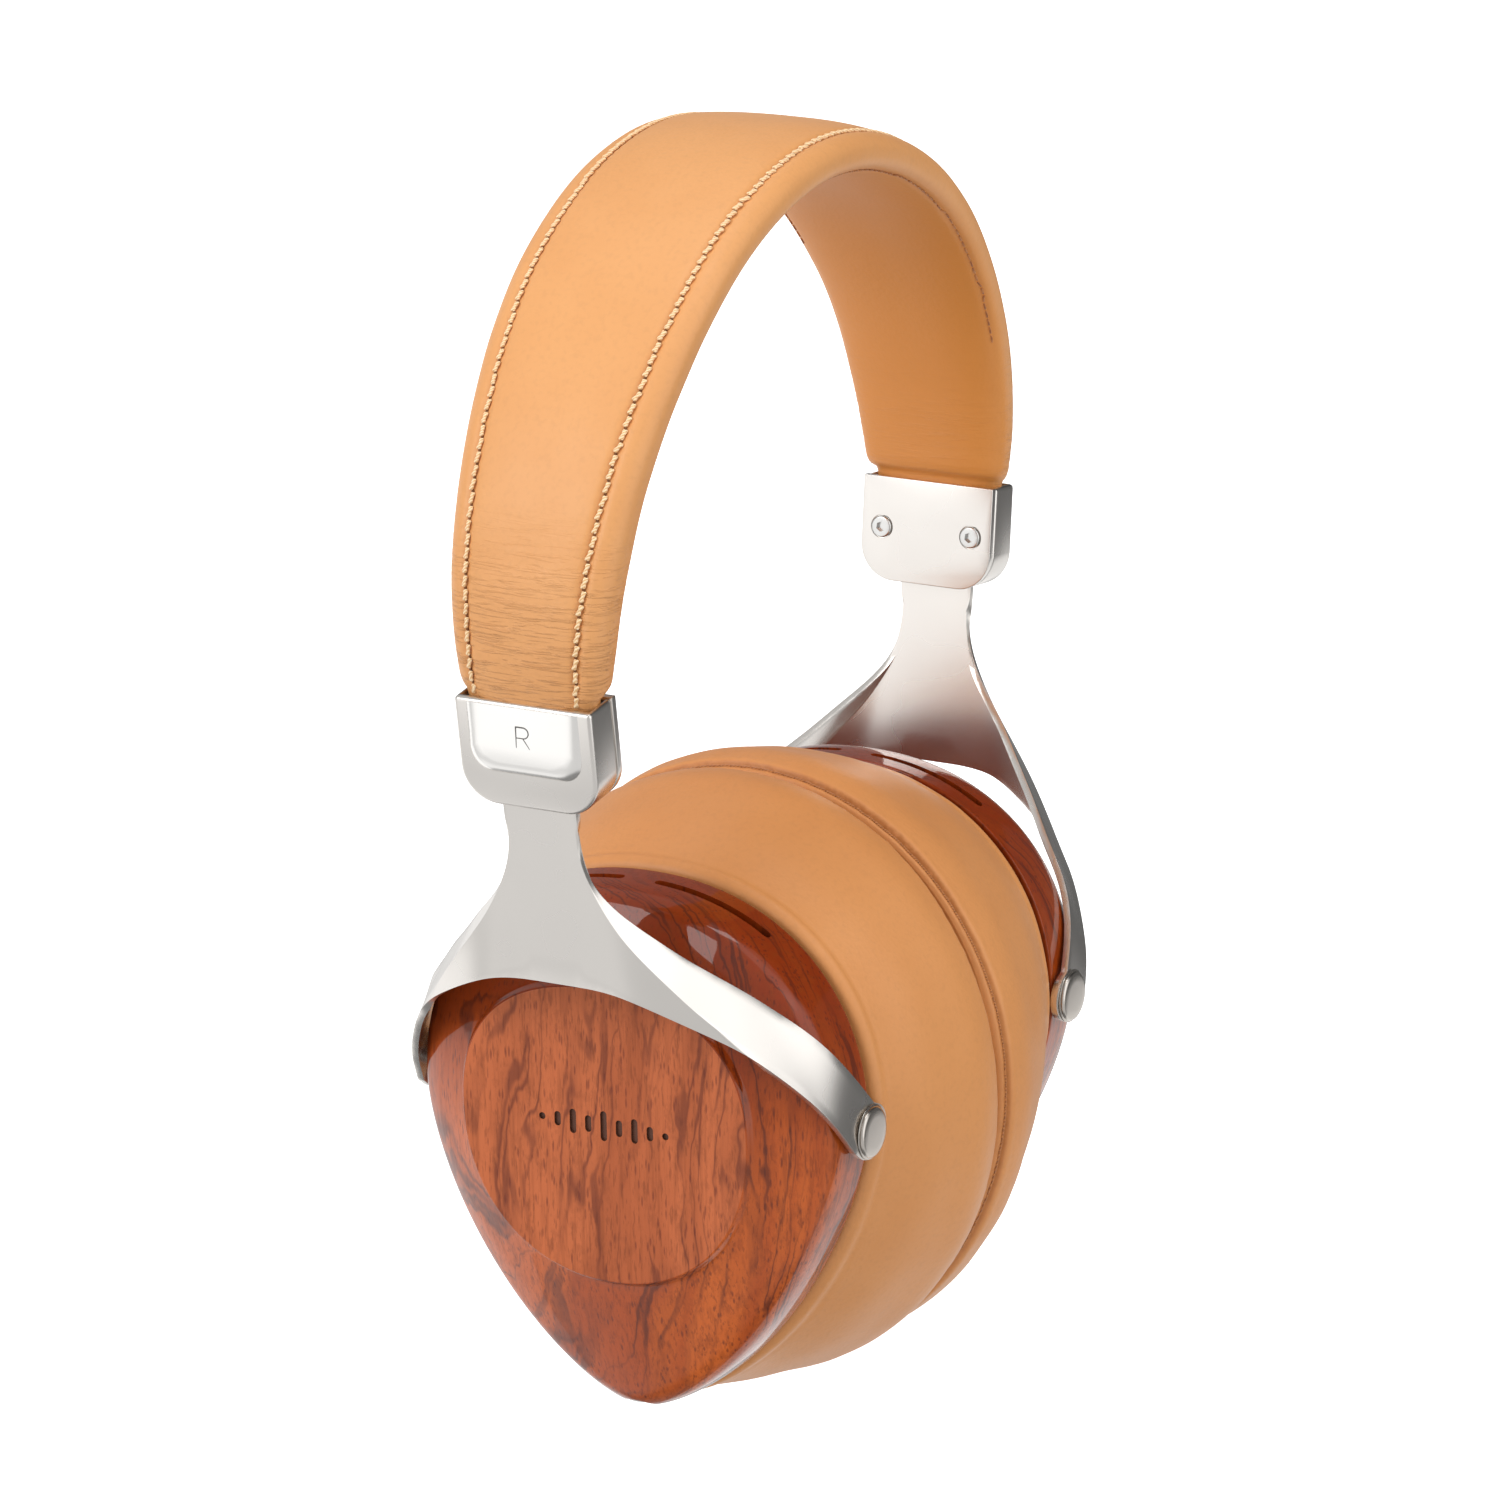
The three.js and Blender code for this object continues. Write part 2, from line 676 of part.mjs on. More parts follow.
function cupShell() {
  const outer = [
    { x: FACE_X, face: 1 },
    { x: 52.6, face: 0.93 },
    { x: 50.6, face: 0.67 },
    { x: 48.4, face: 0.34 },
    { x: 46.4, face: 0.12 },
    { x: 44.0, face: 0.05 },
    { x: 40.0, face: 0.02 },
    { x: CUP_RIM_X, face: 0 },
  ];
  const inner = [
    { x: CUP_RIM_X, out: -3.8 },
    { x: 37.8, out: -3.8 },
    { x: 37.8, out: -8.5 },
    { x: 44.0, out: -9 },
    { x: 48.6, out: -9, face: 0.6 },
    { x: 50.2, face: 1, faceOut: -2 },
  ];
  const shell = domeSolid([...outer, ...inner], onEgg);
  const vents = [box(38.6, 40.4, 3, 25, -50, -20), box(38.6, 40.4, -25, -3, -50, -20)];
  const sockets = [pivotBar(1.6, 36, 50), pivotBar(1.6, -50, -36)];
  const inlet = new THREE.CylinderGeometry(3.7, 3.7, 20, 16).rotateX(Math.PI / 2);
  inlet.translate(42, 0, PIVOT_Z - 56);
  const pilots = screwPlaces().map(([y, z]) => roundBar(0.9, 36, 42.5, y, PIVOT_Z + z));
  return subtract(shell, ...vents, ...sockets, inlet, ...pilots);
}

function screwPlaces() {
  return [[33.4, 6], [-33.4, 6], [9.5, -45.4]];
}

function baffle() {
  const path = [
    { x: 35.2, out: -20 },
    { x: 35.2, out: -4.15 },
    { x: 37.4, out: -4.15 },
    { x: 37.4, out: -20 },
  ];
  const plate = domeSolid(path, onEgg);
  const opening = roundBar(25.6, 30, 40, 0, PIVOT_Z + DRIVER_Z, 28);
  const holes = screwPlaces().map(([y, z]) => roundBar(1.2, 30, 40, y, PIVOT_Z + z, 12));
  const sinks = screwPlaces().map(([y, z]) => roundBar(2.3, 30, 36.4, y, PIVOT_Z + z, 12));
  return subtract(plate, opening, ...holes, ...sinks);
}

function aroundDriver(profile, segments) {
  const turned = lathe(profile, segments).rotateZ(-Math.PI / 2);
  return turned.translate(0, 0, PIVOT_Z + DRIVER_Z);
}

function baffleScrew([y, z]) {
  const screw = lathe([[0, 35.3], [1.9, 35.3], [1.9, 36.1], [0.6, 36.1], [0.6, 42], [0, 42]], 12);
  return screw.rotateZ(-Math.PI / 2).translate(0, y, PIVOT_Z + z);
}

function driverFrame() {
  const front = [[25, 35.2], [25, 37.7], [27.4, 37.7], [27.4, 38.9]];
  const rear = [[22, 41.2], [15, 41.2], [15, 38.7], [23.6, 38.0], [23.6, 35.2], [25, 35.2]];
  return aroundDriver([...front, ...rear], 28);
}

function driverMagnet() {
  return aroundDriver([[0, 38.4], [13, 38.4], [14.7, 38.9], [14.7, 45.6], [13.7, 46.2], [0, 46.2]], 24);
}

function driverDiaphragm() {
  const front = [[0, 36.0], [9, 36.2], [12, 37.1], [17, 36.4], [23.2, 36.8]];
  const rear = [[23.2, 37.3], [17, 36.9], [12, 37.6], [9, 36.7], [0, 36.5]];
  return aroundDriver([...front, ...rear], 22);
}

function driverGrille() {
  return aroundDriver([[0, 34.1], [24.5, 34.1], [24.5, 34.7], [0, 34.7]], 28);
}

function dampingFelt() {
  const felt = aroundDriver([[0, 47.0], [20, 47.0], [20, 49.4], [0, 49.4]], 24);
  return felt.translate(0, 0, 2);
}

function padBody() {
  const loop = [
    { x: 34.6, out: -0.7 },
    { x: 33.2, out: -0.5 },
    { x: 32.3, pad: 0.06 },
    { x: 27.0, pad: 0.34 },
    { x: 22.0, pad: 0.6 },
    { x: 15.0, pad: 0.85 },
    { x: 9.4, pad: 1 },
    { x: 9.4, out: -14.6 },
    { x: 20.0, out: -15.4 },
    { x: 33.0, out: -14.8 },
    { x: 33.0, out: -3.0 },
    { x: 34.6, out: -2.4 },
  ];
  return ringSolid(loop, onEgg);
}

function padFace() {
  const loop = [
    { x: 9.1, pad: 1 },
    { x: 6.0, pad: 1 },
    { x: 2.8, pad: 0.96 },
    { x: 0.9, pad: 0.86 },
    { x: 0.3, pad: 0.7 },
    { x: 0.3, out: -8.0 },
    { x: 2.2, out: -12.4 },
    { x: 5.4, out: -14.2 },
    { x: 9.1, out: -14.6 },
  ];
  return ringSolid(loop, onEgg);
}

function padRing() {
  const loop = [
    { x: 33.3, out: -3.4 },
    { x: 33.3, out: -13.6 },
    { x: 34.8, out: -13.6 },
    { x: 34.8, out: -4.3 },
    { x: 34.3, out: -3.4 },
  ];
  return ringSolid(loop, onEgg);
}

function pivotPin(side) {
  const cap = [[0, 43.9], [3.9, 43.9], [4.5, 43.5], [4.5, 42.95 + GAP], [2.4, 42.95 + GAP]];
  const shaft = [[1.3, 43.0], [1.3, 37.4], [0, 37.4]];
  const pin = lathe([...cap, ...shaft], 20);
  if (side < 0) pin.rotateZ(Math.PI);
  return pin.translate(PIVOT_X, 0, PIVOT_Z);
}

function jackSocket() {
  const profile = [[1.8, -54.2], [3.4, -54.2], [3.4, -47.8], [1.8, -47.8], [1.8, -54.2]];
  const socket = lathe(profile, 16).rotateX(Math.PI / 2);
  return socket.translate(42, 0, PIVOT_Z);
}

function buildCups() {
  addPair("cup_shell", cupShell(), WOOD);
  addPair("baffle", baffle(), PLASTIC);
  addPair("baffle_screw_front", baffleScrew(screwPlaces()[1]), STEEL);
  addPair("baffle_screw_back", baffleScrew(screwPlaces()[0]), STEEL);
  addPair("baffle_screw_low", baffleScrew(screwPlaces()[2]), STEEL);
  addPair("driver_frame", driverFrame(), PLASTIC);
  addPair("driver_magnet", driverMagnet(), STEEL);
  addPair("driver_diaphragm", driverDiaphragm(), MESH);
  addPair("driver_grille", driverGrille(), MESH);
  addPair("damping_felt", dampingFelt(), FOAM);
  addPair("ear_pad", padBody(), LEATHER);
  addPair("ear_pad_face", padFace(), LEATHER);
  addPair("pad_ring", padRing(), PLASTIC);
  addPair("pivot_pin_front", pivotPin(-1), METAL);
  addPair("pivot_pin_back", pivotPin(1), METAL);
  addPair("jack_socket", jackSocket(), PLASTIC);
}

buildArch();
buildClamps();
buildYokes();
buildCups();

export default root;
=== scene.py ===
import math
import random

import bmesh
import bpy
import numpy as np
from mathutils import Matrix, Vector, noise
from mathutils.bvhtree import BVHTree


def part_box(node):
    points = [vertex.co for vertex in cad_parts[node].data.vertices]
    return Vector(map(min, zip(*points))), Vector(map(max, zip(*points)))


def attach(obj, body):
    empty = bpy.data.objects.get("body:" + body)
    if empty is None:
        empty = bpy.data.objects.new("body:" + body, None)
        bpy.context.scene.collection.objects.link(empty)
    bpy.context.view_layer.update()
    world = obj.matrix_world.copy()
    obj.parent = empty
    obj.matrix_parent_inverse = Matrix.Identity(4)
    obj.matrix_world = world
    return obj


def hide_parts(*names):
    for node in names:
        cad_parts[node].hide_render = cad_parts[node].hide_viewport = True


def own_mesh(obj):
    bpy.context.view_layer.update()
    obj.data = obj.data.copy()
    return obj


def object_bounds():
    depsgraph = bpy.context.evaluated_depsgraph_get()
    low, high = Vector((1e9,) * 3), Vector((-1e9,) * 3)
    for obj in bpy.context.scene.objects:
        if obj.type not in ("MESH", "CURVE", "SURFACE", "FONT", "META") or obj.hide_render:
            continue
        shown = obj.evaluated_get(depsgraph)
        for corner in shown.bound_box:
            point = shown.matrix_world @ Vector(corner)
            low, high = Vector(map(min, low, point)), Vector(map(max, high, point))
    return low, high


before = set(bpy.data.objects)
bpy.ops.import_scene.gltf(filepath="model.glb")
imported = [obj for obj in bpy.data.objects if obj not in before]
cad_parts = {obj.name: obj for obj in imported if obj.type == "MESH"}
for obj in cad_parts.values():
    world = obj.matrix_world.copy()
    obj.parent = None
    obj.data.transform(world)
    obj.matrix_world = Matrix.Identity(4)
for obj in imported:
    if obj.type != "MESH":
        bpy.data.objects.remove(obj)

CAD_BOX = [list(corner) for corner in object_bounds()]
MM = 0.001
RIGHT, LEFT = -1, 1
SIDES = (("r", RIGHT, "right"), ("l", LEFT, "left"))

# ---- driving places, millimetres
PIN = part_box("pivot_pin_front_l")
PIVOT_Z = (PIN[0][2] + PIN[1][2]) / 2 / MM
PIVOT_X = (PIN[0][0] + PIN[1][0]) / 2 / MM
CLAMP_Z = PIVOT_Z + 81.28
CLAMP_X, TILT = 73.04, 0.1287
CT, ST = math.cos(TILT), math.sin(TILT)
CLAMP_THICK, CLAMP_DEPTH, CLAMP_HALF, CLAMP_CORNER = 8.74, 18.9, 13.0, 6.5
BOLT_Y, BOLT_DOWN = 8.93, 9.2
EGG_C = -2.0
SHEET = 1.2
STEM_OUT, ARM_Y, TIP_R = 1.85, 42.95, 5.2


# ---- camera
def placed(name, data):
    ob = bpy.data.objects.new(name, data)
    bpy.context.collection.objects.link(ob)
    return ob


def camera():
    data = bpy.data.cameras.new("camera")
    data.lens, data.sensor_width = 182.71, 36.0
    data.clip_start, data.clip_end = 0.05, 50
    cam = placed("camera", data)
    cam.location = Vector((-1104.192, -608.055, 368.186 + CLAMP_Z)) * MM
    cam.rotation_euler = [math.radians(angle) for angle in (72.4498, 1.0969, -61.5104)]
    bpy.context.scene.camera = cam


camera()


# ---- small maths
def monotone(knots, at):
    """Smooth curve through (x, y) knots that doesn't overshoot."""
    xs, ys = (np.array(v, float) for v in zip(*knots))
    h, d = np.diff(xs), np.diff(ys) / np.diff(xs)
    m = np.empty_like(ys)
    m[0], m[-1] = d[0], d[-1]
    for i in range(1, len(xs) - 1):
        same = d[i - 1] * d[i] > 0
        m[i] = 0 if not same else 3 * (h[i - 1] + h[i]) / (
            (2 * h[i] + h[i - 1]) / d[i - 1] + (h[i] + 2 * h[i - 1]) / d[i])
    at = np.clip(np.asarray(at, float), xs[0], xs[-1])
    k = np.clip(np.searchsorted(xs, at, side="right") - 1, 0, len(h) - 1)
    t = (at - xs[k]) / h[k]
    return ((2 * t**3 - 3 * t**2 + 1) * ys[k] + (t**3 - 2 * t**2 + t) * h[k] * m[k]
            + (3 * t**2 - 2 * t**3) * ys[k + 1] + (t**3 - t**2) * h[k] * m[k + 1])


def natural(points, count, closed=False):
    """Natural cubic spline through points of any size, resampled to count points."""
    p = np.array(points, float)
    if closed:
        p = np.vstack([p[-3:], p, p[:3]])
    n = len(p)
    system = np.eye(n)
    right = np.zeros_like(p)
    for i in range(1, n - 1):
        system[i, i - 1:i + 2] = 1, 4, 1
        right[i] = 6 * (p[i - 1] - 2 * p[i] + p[i + 1])
    second = np.linalg.solve(system, right)
    low, high = (3, n - 3) if closed else (0, n - 1)
    at = np.linspace(low, high, count, endpoint=not closed)
    k = np.minimum(at.astype(int), n - 2)
    t = (at - k)[:, None]
    a, b = p[k], p[k + 1]
    return (a * (1 - t) + b * t
            + ((1 - t)**3 - (1 - t)) * second[k] / 6 + (t**3 - t) * second[k + 1] / 6)


def resample(points, count, closed=True):
    """The same polyline with points at equal steps."""
    p = np.array(points, float)
    if closed:
        p = np.vstack([p, p[:1]])
    step = np.r_[0, np.cumsum(np.linalg.norm(np.diff(p, axis=0), axis=1))]
    at = np.linspace(0, step[-1], count, endpoint=not closed)
    return np.stack([np.interp(at, step, p[:, k]) for k in range(p.shape[1])], axis=1)


def circle(count):
    """Angles of equally spaced points on a circle."""
    return np.linspace(0, 2 * math.pi, count, endpoint=False)


def fractal(p, size, seed=0.0, octaves=3):
    return noise.fractal(Vector((p[0] / size + seed, p[1] / size, p[2] / size)), 0.6, 2.1, octaves)


# ---- meshes
def new_mesh(name, points, faces, sharp=None):
    """points in millimetres."""
    mesh = bpy.data.meshes.new(name)
    mesh.from_pydata((np.asarray(points, float) * MM).tolist(), [], [tuple(f) for f in faces])
    mesh.validate()
    shade(mesh, sharp)
    return placed(name, mesh)


def shade(mesh, sharp=None):
    mesh.polygons.foreach_set("use_smooth", [True] * len(mesh.polygons))
    if sharp is not None:
        mesh.set_sharp_from_angle(angle=math.radians(sharp))
    mesh.update()


def outward(ob):
    bm = bmesh.new()
    bm.from_mesh(ob.data)
    bmesh.ops.recalc_face_normals(bm, faces=bm.faces)
    bm.to_mesh(ob.data)
    bm.free()
    return ob


def solid(name, points, faces, sharp=None):
    return outward(new_mesh(name, points, faces, sharp))


def grid_faces(rows, cols, wrap_rows=False, wrap_cols=True):
    faces = []
    for i in range(rows if wrap_rows else rows - 1):
        for j in range(cols if wrap_cols else cols - 1):
            k, m = (i + 1) % rows, (j + 1) % cols
            faces.append((i * cols + j, i * cols + m, k * cols + m, k * cols + j))
    return faces


def tube_faces(rows, cols):
    """A grid closed around, with a cap at each end."""
    last = (rows - 1) * cols
    return grid_faces(rows, cols) + [tuple(range(cols))[::-1], tuple(range(last, last + cols))]


def settle(ob, sharp=None):
    """Applies every modifier."""
    graph = bpy.context.evaluated_depsgraph_get()
    mesh = bpy.data.meshes.new_from_object(ob.evaluated_get(graph))
    ob.modifiers.clear()
    ob.data = mesh
    shade(mesh, sharp)
    return ob


def carve(ob, cutters, sharp=30):
    for cutter in cutters:
        mod = ob.modifiers.new("cut", "BOOLEAN")
        mod.operation, mod.object, mod.solver = "DIFFERENCE", cutter, "EXACT"
    settle(ob, sharp)
    for cutter in cutters:
        bpy.data.objects.remove(cutter)
    return ob


def bevelled(ob, width, segments=3, angle=40, sharp=None):
    mod = ob.modifiers.new("edge", "BEVEL")
    mod.width, mod.segments, mod.limit_method = width * MM, segments, "ANGLE"
    mod.angle_limit, mod.harden_normals = math.radians(angle), False
    return settle(ob, sharp)


def mirrored(ob, name):
    """A copy across the symmetry plane."""
    mesh = ob.data.copy()
    mesh.transform(Matrix.Scale(-1, 4, (1, 0, 0)))
    mesh.flip_normals()
    mesh.name = name
    return placed(name, mesh)


def dress(ob, material, body, slot, *nodes):
    ob.data.materials.clear()
    ob.data.materials.append(material)
    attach(ob, body)
    if nodes:
        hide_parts(*nodes)


def dress_pair(left, base, material, body, slot, *nodes):
    """Dresses a left piece and its mirror copy; names that end in _ get the side added."""
    left.name = base + "l"
    pair = left, mirrored(left, base + "r")
    for ob, (tag, _, word) in zip(pair, reversed(SIDES)):
        rides = body + word if body.endswith("_") else body
        dress(ob, material, rides, slot, *[node + tag for node in nodes])
    return pair


def joined(name, parts):
    """One mesh from many (points, faces) parts."""
    points, faces, start = [], [], 0
    for p, f in parts:
        points.append(p)
        faces += [tuple(start + i for i in face) for face in f]
        start += len(p)
    return new_mesh(name, np.vstack(points), faces)


def capsule(a, b, radius, around=8, rings=3):
    """Points and faces of a round-ended rod from a to b."""
    a, b = np.array(a, float), np.array(b, float)
    axis = b - a
    length = np.linalg.norm(axis)
    axis /= length
    side = np.cross(axis, (0.3, 0.5, 0.81))
    side /= np.linalg.norm(side)
    up = np.cross(axis, side)
    steps = [(-math.cos(t) * radius, math.sin(t) * radius)
             for t in np.linspace(0.12, math.pi / 2, rings)]
    steps += [(length - h, r) for h, r in reversed(steps)]
    angles = circle(around)
    points = [a + axis * h + r * (math.cos(t) * side + math.sin(t) * up)
              for h, r in steps for t in angles]
    return np.array(points), tube_faces(len(steps), around)


def lathe_y(profile, x, z, around=72):
    """A closed (radius, y) profile turned about a line along Y."""
    angles = circle(around)
    points = [(x + r * math.cos(t), y, z + r * math.sin(t)) for r, y in profile for t in angles]
    return points, tube_faces(len(profile), around)


def prism(outline, low, high, place=lambda *point: point):
    """An outline of (a, b) pairs raised from low to high; place(a, b, h) gives the point."""
    n = len(outline)
    points = [place(a, b, h) for h in (low, high) for a, b in outline]
    faces = [tuple(range(n))[::-1], tuple(range(n, 2 * n))]
    faces += [(i, (i + 1) % n, n + (i + 1) % n, n + i) for i in range(n)]
    return points, faces


def stadium(ca, cb, half_a, half_b, steps=10):
    """Round-ended bar outline, long along the larger half."""
    r = min(half_a, half_b)
    out = []
    for k in range(4):
        sa, sb = ((1, 1), (-1, 1), (-1, -1), (1, -1))[k]
        for t in np.linspace(0, math.pi / 2, steps):
            turn = t + k * math.pi / 2
            out.append((ca + sa * (half_a - r) + r * math.cos(turn),
                        cb + sb * (half_b - r) + r * math.sin(turn)))
    return out


# ---- materials
class Nodes:
    """Short names for building one node tree."""

    def __init__(self, tree, coordinates):
        self.tree = tree
        self.place = self.node("ShaderNodeTexCoord").outputs[coordinates]

    def node(self, kind, **settings):
        made = self.tree.nodes.new(kind)
        for key, value in settings.items():
            setattr(made, key, value)
        return made

    def link(self, source, target):
        self.tree.links.new(source, target)

    def put(self, socket, value):
        if hasattr(value, "links"):
            self.link(value, socket)
        else:
            socket.default_value = value

    def feed(self, made, out, **values):
        """Sets or links the named inputs of a node and returns one of its outputs."""
        for key, value in values.items():
            self.put(made.inputs[key.replace("_", " ")], value)
        return made.outputs[out]

    def stretch(self, scale, turn=(0, 0, 0)):
        return self.feed(self.node("ShaderNodeMapping"), "Vector", Vector=self.place,
                         Scale=scale, Rotation=turn)

    def noise(self, scale, detail=3.0, rough=0.55, vector=None, distort=0.0):
        return self.feed(self.node("ShaderNodeTexNoise"), "Fac", Vector=vector or self.place,
                         Scale=scale, Detail=detail, Roughness=rough, Distortion=distort)

    def cells(self, scale, vector=None):
        return self.feed(self.node("ShaderNodeTexVoronoi", feature="F1"), "Distance",
                         Vector=vector or self.place, Scale=scale, Randomness=1.0)

    def wave(self, scale, distort, vector=None, **settings):
        return self.feed(self.node("ShaderNodeTexWave", **settings), "Fac",
                         Vector=vector or self.place, Scale=scale, Distortion=distort)

    def math(self, kind, a, b=0.0, clamp=False):
        made = self.node("ShaderNodeMath", operation=kind, use_clamp=clamp)
        self.put(made.inputs[0], a)
        self.put(made.inputs[1], b)
        return made.outputs[0]

    def times(self, a, b, clamp=False):
        return self.math("MULTIPLY", a, b, clamp)

    def plus(self, a, b):
        return self.math("ADD", a, b)

    def fit(self, value, a, b, c=0.0, d=1.0):
        """Smooth step from c to d as value goes from a to b."""
        return self.feed(self.node("ShaderNodeMapRange", interpolation_type="SMOOTHSTEP"), "Result",
                         Value=value, From_Min=a, From_Max=b, To_Min=c, To_Max=d)

    def axis(self, k):
        made = self.node("ShaderNodeSeparateXYZ")
        self.link(self.place, made.inputs[0])
        return made.outputs[k]

    def mix(self, fac, a, b):
        made = self.node("ShaderNodeMix", data_type="RGBA", blend_type="MIX")
        self.put(made.inputs["Factor"], fac)
        for key, value in ((6, a), (7, b)):
            if isinstance(value, tuple):
                value = (*value, 1.0)
            self.put(made.inputs[key], value)
        return made.outputs[2]

    def bump(self, height, distance, strength=1.0, after=None):
        made = self.node("ShaderNodeBump")
        if after is not None:
            self.link(after, made.inputs["Normal"])
        return self.feed(made, "Normal", Height=height, Distance=distance * MM, Strength=strength)


class Surface(Nodes):
    """The nodes of one new material."""

    def __init__(self, name):
        self.material = bpy.data.materials.new(name)
        self.material.use_nodes = True
        super().__init__(self.material.node_tree, "Object")

    def set(self, **values):
        self.feed(self.tree.nodes["Principled BSDF"], 0, **values)


def shaded(colour, factor):
    return tuple(factor * c for c in colour)


BAND_CENTRE = -71.58


def leather_material(name, light, dark, creases_and_shade):
    n = Surface(name)
    broad = n.noise(38, 3)
    fine = n.noise(900, 2)
    pores = n.cells(1250)
    colour = n.mix(n.fit(broad, 0.3, 0.7), light, dark)
    colour = n.mix(n.times(n.fit(fine, 0.45, 0.75), 0.16), colour, shaded(light, 0.72))
    grain = n.bump(n.plus(n.times(pores, 0.7), n.times(fine, 0.5)), 0.07, 0.55)
    # the band's version: creases near the clamps with painted shade in them, and painted shade on the
    # band's inner side
    if creases_and_shade:
        height = n.axis(2)
        near = n.fit(height, (CLAMP_Z + 36) * MM, (CLAMP_Z + 6) * MM)
        flat = n.node("ShaderNodeCombineXYZ")
        n.link(n.axis(0), flat.inputs[0])
        n.link(n.plus(height, -BAND_CENTRE * MM), flat.inputs[2])
        length = n.node("ShaderNodeVectorMath", operation="LENGTH")
        n.link(flat.outputs[0], length.inputs[0])
        # painted shade: the band's inner side, facing down towards the head, is painted darker and
        # more saturated
        under = n.fit(length.outputs["Value"], 0.0745, 0.0705, 0.0, 0.8)
        colour = n.mix(under, colour, (0.70, 0.262, 0.045))
        lines = n.noise(430, 3, 0.62, n.stretch((0.34, 0.22, 3.4)), 1.3)
        near = n.times(near, n.math("SUBTRACT", 1.0, under), clamp=True)
        folds_and_shade = n.times(n.fit(lines, 0.50, 0.66), near)
        # painted shade: the fold lines are bumped and also painted darker
        colour = n.mix(n.times(folds_and_shade, 0.16), colour, (0.50, 0.16, 0.035))
        grain = n.bump(folds_and_shade, 0.20, 0.75, grain)
    else:
        off = n.math("ABSOLUTE", n.math("SUBTRACT", n.math("ABSOLUTE", n.axis(0)), 1.95 * MM))
        seam = n.times(n.fit(off, 0.9 * MM, 0.2 * MM), n.fit(fine, 0.25, 0.6, 0.35, 0.7))
        colour = n.mix(seam, colour, (0.42, 0.135, 0.026))
    n.set(Base_Color=colour, Roughness=n.fit(broad, 0.25, 0.8, 0.40, 0.50), Normal=grain)
    n.set(Sheen_Weight=0.05, Sheen_Roughness=0.4, Specular_IOR_Level=0.46)
    return n.material


def thread_material(name, colour, shade_colour):
    n = Surface(name)
    twist = n.wave(900, 1.5, wave_type="BANDS", bands_direction="DIAGONAL")
    fibres = n.noise(4000, 2)
    n.set(Base_Color=n.mix(n.fit(twist, 0.2, 0.8), shade_colour, colour))
    n.set(Normal=n.bump(n.plus(twist, fibres), 0.04, 0.6), Roughness=0.62)
    n.set(Sheen_Weight=0.25, Sheen_Roughness=0.5)
    return n.material


def metal_material(name, colour, rough, grain=0.014, streak=(1, 1, 1)):
    n = Surface(name)
    blast = n.noise(2600, 2, 0.6, n.stretch(streak))
    cloud = n.noise(45, 2)
    n.set(Base_Color=n.mix(n.fit(cloud, 0.3, 0.7), colour, shaded(colour, 0.97)))
    n.set(Roughness=n.fit(cloud, 0.2, 0.8, rough - 0.012, rough + 0.012), Metallic=1.0)
    n.set(Normal=n.bump(blast, grain, 0.35))
    return n.material


